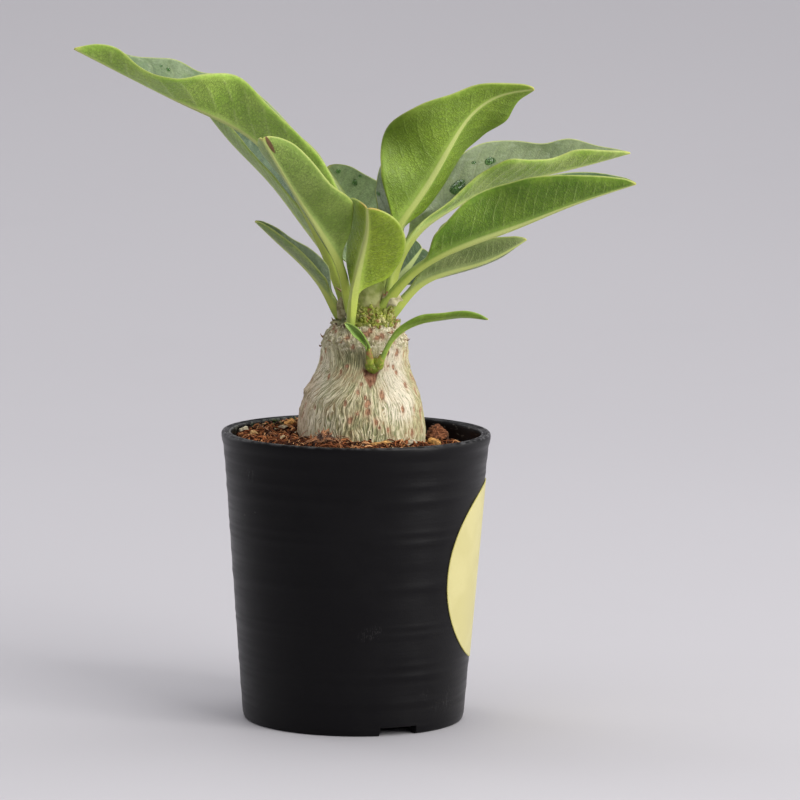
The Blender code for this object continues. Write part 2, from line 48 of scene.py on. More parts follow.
# ---------------------------------------------------------------------------
# leaf table: the same shapes as the solids
# ---------------------------------------------------------------------------
LEAVES = {
    "leaf_01": dict(
        mid=[(-4.5, 2, 142), (-9, 4, 153), (-19, 4, 173), (-34, 3, 193), (-55, 1, 204), (-76, -2, 214), (-94, -6, 223)],
        up=1, wp=1.5, b0=0.08, db=0.16, tip=0.05, root=4.0,
        wA=[10, 11.5, 13.5, 14.5, 15.5, 16, 16.5, 17.5, 16.5, 14.5, 11, 8, 1.5], A=[168, 163, 157, 150, 145, 134, 134, 149, 132, 111, 112, 142, 168],
        wB=[10, 11.5, 13.5, 14.5, 16, 16, 17, 17, 15.5, 14.5, 11, 7.5, 1.5], B=[194, 202, 210, 217, 222, 232, 230, 219, 230, 226, 240, 234, 228]),
    "leaf_02": dict(
        mid=[(-3, -6, 141), (-5, -10.5, 150), (-11, -21, 163), (-20, -34, 178), (-31, -48, 197)],
        up=1, wp=1.5, b0=0.16, db=0.2, tip=0.12, root=4.0,
        wA=[9, 3, 8.5, 14.5, 12.5, 9.5, 5], A=[162, 176, 170, 163, 153, 167, 185],
        wB=[9, 10.5, 12.5, 14, 13.5, 10.5, 5], B=[300, 294, 282, 280, 279, 289, 295]),
    "leaf_03": dict(
        mid=[(-4, 6, 139), (-7, 11, 149), (-17, 18, 163), (-30, 28, 178), (-43, 37, 190), (-53, 45, 201)],
        up=1, wp=1.5, b0=0.1, db=0.2, tip=0.08, root=3.0,
        wA=[7, 10, 13, 15, 14, 9.5, 3], A=[146, 106, 99, 97, 101, 111, 129],
        wB=[7, 10, 13, 15, 14, 9.5, 3], B=[210, 214, 215, 215, 214, 210, 201]),
    "leaf_04": dict(
        mid=[(-2, -11, 135), (-1, -13, 144), (1, -18, 155), (3, -26, 165), (3, -36, 174)],
        up=-1, wp=1.5, b0=0.18, db=0.18, tip=0.2, root=3.0,
        wA=[8, 8, 11.5, 13.5, 13, 11.5, 6], A=[0, -50, -62, -58, -58, -58, -58],
        wB=[8, 9, 11.5, 13.5, 13, 10, 6], B=[178, 190, 192, 188, 184, 179, 180]),
    "leaf_05": dict(
        mid=[(7.6, 5.2, 144.5), (14, 8, 165), (22, 9, 177), (30, 8.5, 191), (37, 8, 202), (45, 6.5, 208), (58, 3, 211)],
        up=-1, wp=1.5, b0=0.2, db=0.16, tip=0.05, root=7.0,
        wA=[12, 11, 11, 12.5, 15, 18.5, 21, 21, 18, 11.5, 8, 4, 2], A=[2, 18, 24, 4, 33, 44, 45],
        wB=[12, 8.5, 6, 6.5, 8.5, 11.5, 14, 14.5, 17, 15.5, 12.5, 6, 2], B=[191, 214, 234, 243, 238, 219, 245]),
    "leaf_06": dict(
        mid=[(10, -0.2, 142), (13, 2, 153), (17, 5, 160), (28, 17, 168.5), (43, 26, 175.5), (60, 31, 180), (81, 33.5, 185), (92, 34, 188)],
        up=-1, wp=1.5, b0=0.18, db=0.16, tip=0.05, root=4.0,
        wA=[8, 6, 4, 4, 5, 9, 13, 17.5, 14, 9, 9, 5.5, 1.5], A=[37, 46, 71, 62, 66, 52, 58],
        wB=[8, 7, 7, 9, 11, 12.5, 14.5, 16.5, 15.5, 11.5, 11, 6, 1.5], B=[-11, -36, -40, -26, -38, -36, -58]),
    "leaf_07": dict(
        mid=[(9.5, -5.5, 141), (18, -10, 151), (31, -14, 159), (49, -18, 166), (69, -22, 174.5), (90.5, -26, 182)],
        up=-1, wp=1.5, b0=0.2, db=0.1, tip=0.04, root=5.0,
        wA=[9, 7, 6.5, 8, 10.5, 14, 15, 15, 15, 13, 10, 6, 1.5], A=[29, 56, 36, 14, 27, 36, 31],
        wB=[9, 8, 12.5, 17, 15.5, 10.5, 1.5], B=[-40, -45, -50, -50, -50, -45, -40]),
    "leaf_08": dict(
        mid=[(12.5, 2.5, 137.5), (21, 3.5, 146), (31, 4, 150), (44, 4, 154), (56, 3, 161)],
        up=-1, wp=1.5, b0=0.12, db=0.2, tip=0.06, root=3.0,
        wA=[4, 3.5, 6.5, 8.5, 8.5, 6.5, 2], A=[31, 43, 37, 30, 27, 26, 34],
        wB=[4, 5, 7.5, 9, 8.5, 6.5, 2], B=[-62, -88, -104, -106, -103, -102, -92]),
    "leaf_09": dict(
        mid=[(9.5, 8.5, 140), (14, 15, 146), (18, 28, 150), (22, 44, 154)],
        up=1, wp=1.5, b0=0.15, db=0.2, tip=0.1, root=5.0,
        wA=[5, 7, 8.5, 9, 8.5, 6, 3], A=[20] * 7,
        wB=[5, 7, 8.5, 9, 8.5, 6, 3], B=[160] * 7),
    "leaf_10": dict(
        mid=[(-6.5, -1.5, 137.5), (-11, -3, 145), (-18, -5, 153), (-26, -7, 160), (-34, -8, 167)],
        up=1, wp=1.5, b0=0.12, db=0.2, tip=0.06, root=3.0,
        wA=[4, 5, 6.5, 7.5, 7, 4.5, 1], A=[149, 122, 108, 107, 110, 116, 128],
        wB=[4, 5.5, 6.5, 6.5, 5, 3.5, 1], B=[215, 217, 223, 229, 231, 217, 204]),
    "leaf_11": dict(
        mid=[(1, 8, 140.5), (1, 24, 155), (-3, 41, 169), (-11, 49, 181)],
        up=1, wp=1.5, b0=0.15, db=0.2, tip=0.12, root=3.0,
        wA=[8, 11, 13.5, 14.5, 13.5, 10, 5], A=[20] * 7,
        wB=[8, 11, 13.5, 15, 14.5, 9.5, 5], B=[150, 155, 165, 170, 170, 170, 170]),
    "leaf_12": dict(
        mid=[(4, 5.4, 144), (8.5, 14.5, 156), (12, 23, 170), (17, 30, 186)],
        up=1, wp=1.5, b0=0.18, db=0.2, tip=0.14, root=4.5,
        wA=[6, 7, 8, 8.5, 10.5, 10.5, 5], A=[19, 26, 38, 50, 40, 32, 16],
        wB=[6, 7, 8, 9.5, 10.5, 9.5, 5], B=[161, 148, 131, 120, 120, 131, 149]),
    "shoot_leaf_1": dict(
        mid=[(8, -17, 123), (11, -19, 129), (17, -21, 134), (27, -23, 137), (35, -24, 138), (43, -25, 137)],
        up=-1, wp=0.9, b0=0.1, db=0.2, tip=0.08, root=1.0,
        wA=[1.5, 2, 3, 4, 3.5, 3, 0.5], A=[60, 59, 58, 55, 62, 56, 40],
        wB=[1.5, 2, 3, 4, 3.5, 2.5, 0.5], B=[-100, -90, -97, -103, -108, -106, -101]),
    "shoot_leaf_2": dict(
        mid=[(4, -17, 125), (3, -18, 128), (-1, -21, 133), (-4, -23, 135)],
        up=-1, wp=0.8, b0=0.1, db=0.2, tip=0.1, root=1.0,
        wA=[1, 1.5, 2, 2.5, 2.5, 1.5, 0.5], A=[149, 121, 106, 107, 111, 124, 145],
        wB=[1, 1.5, 2, 2.5, 2.5, 1.5, 0.5], B=[32, 45, 50, 47, 38, 28, 20]),
}

# looks of each leaf, as display colours: lower side, upper side, lateral vein spacing, quilting, vein strength; the
# lower sides, and the upper side of shoot_leaf_2, are painted lighter, as painted light for the light that shines
# through and onto them
LOOKS = {
    "leaf_01": dict(low=(172, 203, 90), low2=(152, 190, 70), up=(92, 115, 72), up2=(123, 140, 101), pitch=7.5, quilt=0.30, vein=0.3),
    "leaf_02": dict(low=(149, 175, 82), low2=(129, 158, 66), up=(84, 112, 66), up2=(112, 136, 90), pitch=5.0, quilt=0.08, vein=0.05),
    "leaf_03": dict(low=(159, 186, 91), low2=(139, 170, 73), up=(66, 92, 58), up2=(92, 116, 82), pitch=5.5, quilt=0.15, vein=0.12),
    "leaf_04": dict(low=(160, 184, 56), low2=(138, 166, 47), up=(84, 112, 66), up2=(112, 136, 90), pitch=3.2, quilt=0.07, vein=0.16),
    "leaf_05": dict(low=(146, 176, 58), low2=(124, 154, 48), up=(92, 122, 76), up2=(118, 144, 98), pitch=5.5, quilt=0.12, vein=0.06),
    "leaf_06": dict(low=(165, 188, 95), low2=(133, 166, 52), up=(101, 117, 74), up2=(120, 134, 92), pitch=5.4, quilt=0.26, vein=0.26),
    "leaf_07": dict(low=(112, 145, 37), low2=(89, 125, 23), up=(92, 122, 76), up2=(118, 144, 98), pitch=3.6, quilt=0.16, vein=0.22),
    "leaf_08": dict(low=(144, 160, 93), low2=(119, 139, 72), up=(92, 118, 76), up2=(118, 140, 98), pitch=2.6, quilt=0.10, vein=0.34),
    "leaf_09": dict(low=(72, 104, 30), low2=(60, 90, 26), up=(44, 70, 24), up2=(58, 86, 36), pitch=4.0, quilt=0.12, vein=0.10),
    "leaf_10": dict(low=(139, 159, 92), low2=(119, 144, 74), up=(74, 94, 56), up2=(92, 112, 74), pitch=3.8, quilt=0.08, vein=0.12),
    "leaf_11": dict(low=(110, 136, 62), low2=(92, 118, 46), up=(126, 148, 96), up2=(152, 174, 122), pitch=5.5, quilt=0.20, vein=0.16),
    "leaf_12": dict(low=(110, 136, 62), low2=(92, 118, 46), up=(132, 146, 118), up2=(176, 184, 164), pitch=4.6, quilt=0.18, vein=0.14),
    "shoot_leaf_1": dict(low=(129, 161, 52), low2=(110, 143, 40), up=(81, 130, 35), up2=(109, 156, 55), pitch=2.6, quilt=0.05, vein=0.08),
    "shoot_leaf_2": dict(low=(128, 162, 60), low2=(106, 142, 46), up=(130, 164, 72), up2=(150, 180, 96), pitch=2.2, quilt=0.04, vein=0.06),
}

CAUDEX_X = 1.8
CAUDEX = [
    (0.0, 141.2), (2.6, 141.0), (5.0, 140.4), (6.8, 139.4), (7.9, 138.0), (8.5, 136.6), (8.9, 135.0), (9.3, 133.9), (10.9, 133.3),
    (11.2, 132.6), (11.7, 131.2), (12.6, 130.0), (13.5, 128.6), (14.1, 126.6), (14.4, 124.2), (14.55, 121.6), (14.9, 119.2), (15.8, 116.6),
    (17.0, 113.8), (18.2, 111.4), (19.2, 109.2), (20.0, 106.0), (20.6, 102.4), (21.1, 98.0), (21.3, 92.0), (21.0, 86.0),
]
MIX_TOP = 94.6
MIX_DROP = 4.6
POT_H = 96.6
CAM_D, CAM_H, CAM_F = 1500.0, 292.0, 4535.9
CAM_YAW, CAM_PITCH, CAM_ROLL = 0.0097, 0.1227, 0.0113


# ---------------------------------------------------------------------------
# small tools
# ---------------------------------------------------------------------------
def lin(c):
    c = np.asarray(c, float) / 255.0
    return np.where(c <= 0.04045, c / 12.92, ((c + 0.055) / 1.055) ** 2.4)


def rgba(c):
    return tuple(float(v) for v in lin(c)) + (1.0,)


def hashed(ix, iy, iz, seed):
    h = (ix.astype(np.int64) * 374761393 + iy.astype(np.int64) * 668265263 + iz.astype(np.int64) * 2147483647 + seed * 974634777) & 0xFFFFFFFF
    h = ((h ^ (h >> 13)) * 1274126177) & 0xFFFFFFFF
    h = ((h ^ (h >> 16)) * 2246822519) & 0xFFFFFFFF
    return ((h ^ (h >> 15)) & 0xFFFFFF) / float(0x1000000)


def noise3(p, seed=0):
    """Smooth value noise in -1..1."""
    p = np.asarray(p, float)
    i = np.floor(p).astype(np.int64)
    f = p - i
    f = f * f * f * (f * (f * 6 - 15) + 10)
    out = 0.0
    for dx in (0, 1):
        wx = f[..., 0] if dx else 1 - f[..., 0]
        for dy in (0, 1):
            wy = f[..., 1] if dy else 1 - f[..., 1]
            for dz in (0, 1):
                wz = f[..., 2] if dz else 1 - f[..., 2]
                out = out + wx * wy * wz * hashed(i[..., 0] + dx, i[..., 1] + dy, i[..., 2] + dz, seed)
    return out * 2 - 1


def fbm(p, octaves=4, seed=0, gain=0.5):
    total, amp, norm = 0.0, 1.0, 0.0
    p = np.asarray(p, float)
    for k in range(octaves):
        total = total + amp * noise3(p * 2.03**k + 17.3 * k, seed + k)
        norm += amp
        amp *= gain
    return total / norm


def cells(u, v, period, seed=0, jitter=0.9):
    """Nearest and second nearest feature distances of a cell pattern that repeats along u, and the cell's own number."""
    iu, iv = np.floor(u).astype(np.int64), np.floor(v).astype(np.int64)
    f1 = np.full(u.shape, 9.0)
    f2 = np.full(u.shape, 9.0)
    own = np.zeros(u.shape)
    for du in (-1, 0, 1):
        for dv in (-1, 0, 1):
            cu, cv = iu + du, iv + dv
            wrapped = np.mod(cu, period)
            zero = np.zeros_like(cu)
            x = cu + 0.5 + jitter * (hashed(wrapped, cv, zero, seed) - 0.5)
            y = cv + 0.5 + jitter * (hashed(wrapped, cv, zero + 1, seed) - 0.5)
            d = np.hypot(u - x, v - y)
            number = hashed(wrapped, cv, zero + 2, seed)
            nearer = d < f1
            f2 = np.where(nearer, f1, np.minimum(f2, d))
            own = np.where(nearer, number, own)
            f1 = np.where(nearer, d, f1)
    return f1, f2, own


def smooth(a, b, x):
    t = np.clip((x - a) / (b - a), 0, 1)
    return t * t * (3 - 2 * t)


def proj(P):
    """Where points (mm) fall in the 800 px view."""
    P = np.atleast_2d(np.asarray(P, float)) - np.array([0, -CAM_D, CAM_H])
    r, u, fw = camera_axes()
    z = P @ fw
    return np.stack([400 + CAM_F * (P @ r) / z, 400 - CAM_F * (P @ u) / z], -1)


def camera_axes():
    cy, sy, cp, sp = math.cos(CAM_YAW), math.sin(CAM_YAW), math.cos(CAM_PITCH), math.sin(CAM_PITCH)
    fw = np.array([sy * cp, cy * cp, -sp])
    r = np.array([cy, -sy, 0.0])
    u = np.cross(r, fw)
    c, s = math.cos(CAM_ROLL), math.sin(CAM_ROLL)
    return c * r + s * u, -s * r + c * u, fw


def unproj(px, py, y):
    """The point (mm) seen at a pixel, on the plane at depth y."""
    r, u, fw = camera_axes()
    d = fw + (px - 400) / CAM_F * r - (py - 400) / CAM_F * u
    t = (y + CAM_D) / d[1]
    return np.array([0, -CAM_D, CAM_H]) + t * d


PARTS = bpy.data.collections.new("looks")
bpy.context.scene.collection.children.link(PARTS)


def make_mesh(name, points, faces, attributes=None, mats=(), face_mats=None, smooth_shade=True):
    """A mesh from arrays: points in mm, and faces as an (n, 3) or (n, 4) array or a list of such arrays."""
    groups = faces if isinstance(faces, (list, tuple)) else [faces]
    groups = [np.asarray(g, np.int64) for g in groups if len(g)]
    mesh = bpy.data.meshes.new(name)
    points = np.asarray(points, np.float64) * MM
    mesh.vertices.add(len(points))
    mesh.vertices.foreach_set("co", points.astype(np.float32).ravel())
    loops = np.concatenate([g.ravel() for g in groups])
    sizes = np.concatenate([np.full(len(g), g.shape[1]) for g in groups])
    starts = np.concatenate([[0], np.cumsum(sizes)[:-1]])
    mesh.loops.add(len(loops))
    mesh.loops.foreach_set("vertex_index", loops.astype(np.int32))
    mesh.polygons.add(len(sizes))
    mesh.polygons.foreach_set("loop_start", starts.astype(np.int32))
    mesh.polygons.foreach_set("loop_total", sizes.astype(np.int32))
    for m in mats:
        mesh.materials.append(m)
    if face_mats is not None:
        mesh.polygons.foreach_set("material_index", np.asarray(face_mats, np.int32))
    mesh.update(calc_edges=True)
    mesh.validate(clean_customdata=False)
    for key, data in (attributes or {}).items():
        data = np.asarray(data, np.float32)
        if data.ndim == 1:
            a = mesh.attributes.new(key, "FLOAT", "POINT")
            a.data.foreach_set("value", data)
        else:
            a = mesh.attributes.new(key, "FLOAT_VECTOR", "POINT")
            a.data.foreach_set("vector", data.ravel())
    if smooth_shade:
        mesh.shade_smooth()
    obj = bpy.data.objects.new(name, mesh)
    PARTS.objects.link(obj)
    return obj


def shown(obj, slot, *nodes):
    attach(obj, "root")
    if nodes:
        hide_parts(*nodes)
    return obj


def grid_faces(rows, cols, wrap=False, flip=False, start=0):
    """Quads over a rows x cols grid of points."""
    r, c = np.meshgrid(np.arange(rows - 1), np.arange(cols if wrap else cols - 1), indexing="ij")
    n = (c + 1) % cols
    q = np.stack([r * cols + c, r * cols + n, (r + 1) * cols + n, (r + 1) * cols + c], -1).reshape(-1, 4)
    return (q[:, ::-1] if flip else q) + start


class Look:
    """A node material, built up with short calls."""

    def __init__(self, name, roughness=0.5, specular=0.5):
        self.mat = bpy.data.materials.new(name)
        self.mat.use_nodes = True
        self.tree = self.mat.node_tree
        self.shader = self.tree.nodes["Principled BSDF"]
        self.shader.inputs["Roughness"].default_value = roughness
        self.shader.inputs["Specular IOR Level"].default_value = specular

    def node(self, kind, **settings):
        n = self.tree.nodes.new("ShaderNode" + kind)
        for k, v in settings.items():
            setattr(n, k, v)
        return n

    def put(self, socket, value):
        if isinstance(value, bpy.types.NodeSocket):
            self.tree.links.new(value, socket)
        else:
            socket.default_value = value

    def math(self, operation, a, b=0.0, c=0.0, clamp=False):
        n = self.node("Math", operation=operation, use_clamp=clamp)
        for i, v in enumerate((a, b, c)):
            self.put(n.inputs[i], v)
        return n.outputs[0]

    def ease(self, x, low, high, to_low=0.0, to_high=1.0):
        n = self.node("MapRange", interpolation_type="SMOOTHSTEP")
        for i, v in enumerate((x, low, high, to_low, to_high)):
            self.put(n.inputs[i], v)
        return n.outputs[0]

    def mix(self, share, a, b, blend="MIX"):
        n = self.node("Mix", data_type="RGBA", blend_type=blend)
        self.put(n.inputs[0], share)
        self.put(n.inputs[6], a)
        self.put(n.inputs[7], b)
        return n.outputs[2]

    def attribute(self, name, output="Fac"):
        return self.node("Attribute", attribute_name=name).outputs[output]

    def split(self, vector):
        n = self.node("SeparateXYZ")
        self.put(n.inputs[0], vector)
        return n.outputs

    def join(self, x, y, z):
        n = self.node("CombineXYZ")
        for i, v in enumerate((x, y, z)):
            self.put(n.inputs[i], v)
        return n.outputs[0]

    def place(self):
        return self.node("TexCoord").outputs["Object"]

    def scaled(self, vector, scale):
        n = self.node("Mapping")
        self.put(n.inputs[0], vector)
        n.inputs["Scale"].default_value = scale if hasattr(scale, "__len__") else (scale,) * 3
        return n.outputs[0]

    def noise(self, vector, scale=1.0, detail=3.0, roughness=0.5, distortion=0.0):
        n = self.node("TexNoise")
        self.put(n.inputs["Vector"], vector)
        n.inputs["Scale"].default_value = scale
        n.inputs["Detail"].default_value = detail
        n.inputs["Roughness"].default_value = roughness
        n.inputs["Distortion"].default_value = distortion
        return n.outputs[0]

    def voronoi(self, vector, scale=1.0, feature="F1", output="Distance", randomness=1.0):
        n = self.node("TexVoronoi", feature=feature)
        self.put(n.inputs["Vector"], vector)
        n.inputs["Scale"].default_value = scale
        n.inputs["Randomness"].default_value = randomness
        return n.outputs[output]

    def bump(self, height, strength=0.3, distance=0.0002):
        n = self.node("Bump")
        n.inputs["Strength"].default_value = strength
        n.inputs["Distance"].default_value = distance
        self.put(n.inputs["Height"], height)
        self.tree.links.new(n.outputs[0], self.shader.inputs["Normal"])

    def colour(self, value):
        self.put(self.shader.inputs["Base Color"], value)

    def rough(self, value):
        self.put(self.shader.inputs["Roughness"], value)


# ---------------------------------------------------------------------------
# leaves
# ---------------------------------------------------------------------------
def natural_spline(points, count):
    p = np.array(points, float)
    t = np.concatenate([[0], np.cumsum(np.linalg.norm(np.diff(p, axis=0), axis=1))])
    n, h = len(p), np.diff(t)
    system, right = np.zeros((n, n)), np.zeros((n, 3))
    system[0, 0] = system[-1, -1] = 1
    for i in range(1, n - 1):
        system[i, i - 1], system[i, i], system[i, i + 1] = h[i - 1], 2 * (h[i - 1] + h[i]), h[i]
        right[i] = 6 * ((p[i + 1] - p[i]) / h[i] - (p[i] - p[i - 1]) / h[i - 1])
    second = np.linalg.solve(system, right)
    at = np.linspace(0, t[-1], 800)
    i = np.clip(np.searchsorted(t, at, side="right") - 1, 0, n - 2)
    a, b, hh = (t[i + 1] - at)[:, None], (at - t[i])[:, None], h[i][:, None]
    q = (second[i] * a**3 + second[i + 1] * b**3) / (6 * hh)
    q += (p[i] / hh - second[i] * hh / 6) * a + (p[i + 1] / hh - second[i + 1] * hh / 6) * b
    run = np.concatenate([[0], np.cumsum(np.linalg.norm(np.diff(q, axis=0), axis=1))])
    even = np.linspace(0, run[-1], count)
    return np.stack([np.interp(even, run, q[:, k]) for k in range(3)], 1), run[-1]


def ease(x, values):
    y = np.array(values, float)
    n = len(y) - 1
    slope = np.gradient(y) * n
    x = np.clip(x, 0, 1) * n
    i = np.minimum(x.astype(int), n - 1)
    u = x - i
    return (y[i] * (2 * u**3 - 3 * u**2 + 1) + slope[i] / n * (u**3 - 2 * u**2 + u)
            + y[i + 1] * (3 * u**2 - 2 * u**3) + slope[i + 1] / n * (u**3 - u**2))


def half_width(s, leaf, widths):
    u = np.clip((s - (1 - leaf["tip"])) / leaf["tip"], 0, 1)
    w = np.maximum(ease(s, widths), 0.3) * np.sqrt(np.maximum(1 - u**2, 0.0))
    v = np.clip((s - leaf["b0"]) / leaf["db"], 0, 1)
    v = v * v * (3 - 2 * v)
    return leaf["wp"] * (1 - v) + w * v


def unit(v):
    return v / np.maximum(np.linalg.norm(v, axis=-1, keepdims=True), 1e-9)


def leaf_sheet(name, leaf, look, ns, nh, seed):
    """The middle sheet of a leaf as a grid, its upper normals and what the material needs."""
    s = 0.5 - 0.5 * np.cos(np.linspace(0, 1, ns) * math.pi)
    s = 0.55 * s + 0.45 * np.linspace(0, 1, ns)
    s = s * 0.9985
    fine, length = natural_spline(leaf["mid"], 801)
    tangent = np.gradient(fine, axis=0)
    at = s * 800
    middle = np.stack([np.interp(at, np.arange(801), fine[:, k]) for k in range(3)], 1)
    tangent = unit(np.stack([np.interp(at, np.arange(801), tangent[:, k]) for k in range(3)], 1))
    # the petiole goes on down into the crown
    extra = np.linspace(1, 0, 7)[:-1]
    middle = np.concatenate([middle[0] - tangent[0] * (leaf["root"] * extra)[:, None], middle])
    tangent = np.concatenate([np.repeat(tangent[:1], len(extra), 0), tangent])
    s_all = np.concatenate([np.zeros(len(extra)), s])
    along = np.concatenate([-leaf["root"] * extra, s * length])
    front = np.array([0.0, -1.0, 0.0])
    normal = unit(front - (tangent @ front)[:, None] * tangent)
    side = np.cross(normal, tangent)
    up = leaf["up"]
    q = np.linspace(0, 1, nh + 1)
    p = q**1.25
    p = 0.75 * p + 0.25 * (1 - (1 - q) ** 1.6)

    def direction(angle):
        a = np.radians(angle)
        return np.cos(a)[..., None] * side[:, None] + np.sin(a)[..., None] * normal[:, None]

    rows, signed, edge, wide = [], [], [], []
    blade = smooth(leaf["b0"], leaf["b0"] + leaf["db"], s_all)
    for half, sign in (("A", -1), ("B", 1)):
        angle = ease(s_all, leaf[half])
        w = half_width(s_all, leaf, leaf["w" + half])
        # each half is slightly cupped towards the upper face
        camber = -sign * up * 9.0 * blade
        ang = angle[:, None] + camber[:, None] * (p[None] - 0.55)
        pts = middle[:, None] + direction(ang) * (w[:, None] * p[None])[..., None]
        rows.append(pts)
        signed.append(sign * w[:, None] * p[None])
        edge.append(w[:, None] * (1 - p[None]))
        wide.append(w)
    grid = np.concatenate([rows[0][:, ::-1], rows[1][:, 1:]], 1)
    c = np.concatenate([signed[0][:, ::-1], signed[1][:, 1:]], 1)
    e = np.concatenate([edge[0][:, ::-1], edge[1][:, 1:]], 1)
    w_both = np.where(c < 0, wide[0][:, None], wide[1][:, None])
    # upper normals: from the grid away from the midrib, and between the two halves at it
    ds = np.gradient(grid, axis=0)
    nA = unit(np.cross(ds[:, :nh + 1], np.gradient(grid[:, :nh + 1], axis=1)))
    nB = unit(np.cross(ds[:, nh:], np.gradient(grid[:, nh:], axis=1)))
    wantA = direction((ease(s_all, leaf["A"]) + 90 * up)[:, None])
    wantB = direction((ease(s_all, leaf["B"]) - 90 * up)[:, None])
    nA = nA * np.sign((nA * wantA).sum(-1, keepdims=True) + 1e-9)
    nB = nB * np.sign((nB * wantB).sum(-1, keepdims=True) + 1e-9)
    nA[:, -1] = nA[:, -2]
    nB[:, 0] = nB[:, 1]
    centre = unit(nA[:, -1] + nB[:, 0])
    norm = np.concatenate([nA[:, :-1], centre[:, None], nB[:, 1:]], 1)
    rib = np.interp(s_all, [0, 0.2, 0.5, 0.85, 1], np.array([1.0, 0.92, 0.62, 0.34, 0.2]) * leaf["wp"])
    t_rib = np.interp(s_all, [0, 0.25, 0.6, 1], [1.6 * leaf["wp"], 1.15 * leaf["wp"], 0.72 * leaf["wp"], 0.35])
    reach = np.abs(c) / rib[:, None]
    share = smooth(0.15, 1.35, reach)[..., None]
    down = unit(centre[:, None] * (1 - share) + norm * share)
    # lateral veins: the sheet is quilted between them
    pitch = look["pitch"]
    a = np.repeat(along[:, None], grid.shape[1], 1)
    ac = np.abs(c)
    wob = noise3(np.stack([a / 9.0, c / 9.0, np.full_like(a, seed)], -1), seed) * 0.9
    phase = (a - 0.62 * ac - 0.010 * ac**2 + wob + np.where(c < 0, 0.0, 0.45 * pitch)) / pitch
    quilt = np.abs(np.sin(math.pi * phase)) ** 0.8
    inner = smooth(0.8, 3.5, ac) * smooth(0.0, 2.5, e) * blade[:, None]
    lift = look["quilt"] * (quilt - 0.6) * inner
    lift = lift + 0.35 * blade[:, None] * smooth(3, 14, ac) * fbm(np.stack([a / 22.0, c / 22.0, np.full_like(a, seed * 3.1)], -1), 2, seed + 5)
    lift = lift + 0.28 * blade[:, None] * smooth(2.6, 0.0, e) * smooth(2.0, 7.0, w_both) * noise3(np.stack([a / 6.5, np.sign(c) * 3, np.full_like(a, seed * 1.7)], -1), seed + 9)
    grid = grid + norm * lift[..., None]
    blade_t = 0.46 * np.sqrt(np.clip(e / 0.55, 0.0, 1.0)) + 0.10
    blade_t = np.minimum(blade_t, 0.5)
    thick = blade_t + (t_rib[:, None] - blade_t) * np.exp(-(reach**2) * 0.9)
    # the midrib shows as a shallow channel above
    channel = -0.16 * leaf["wp"] * np.exp(-(reach / 0.7) ** 2) * (1 - 0.5 * s_all[:, None])
    upper = grid + norm * channel[..., None]
    lower = grid - down * thick[..., None]
    return dict(upper=upper, lower=lower, along=a, across=c, edge=e, s=np.repeat(s_all[:, None], grid.shape[1], 1),
                rib=reach, phase=phase, normals=norm, length=length)


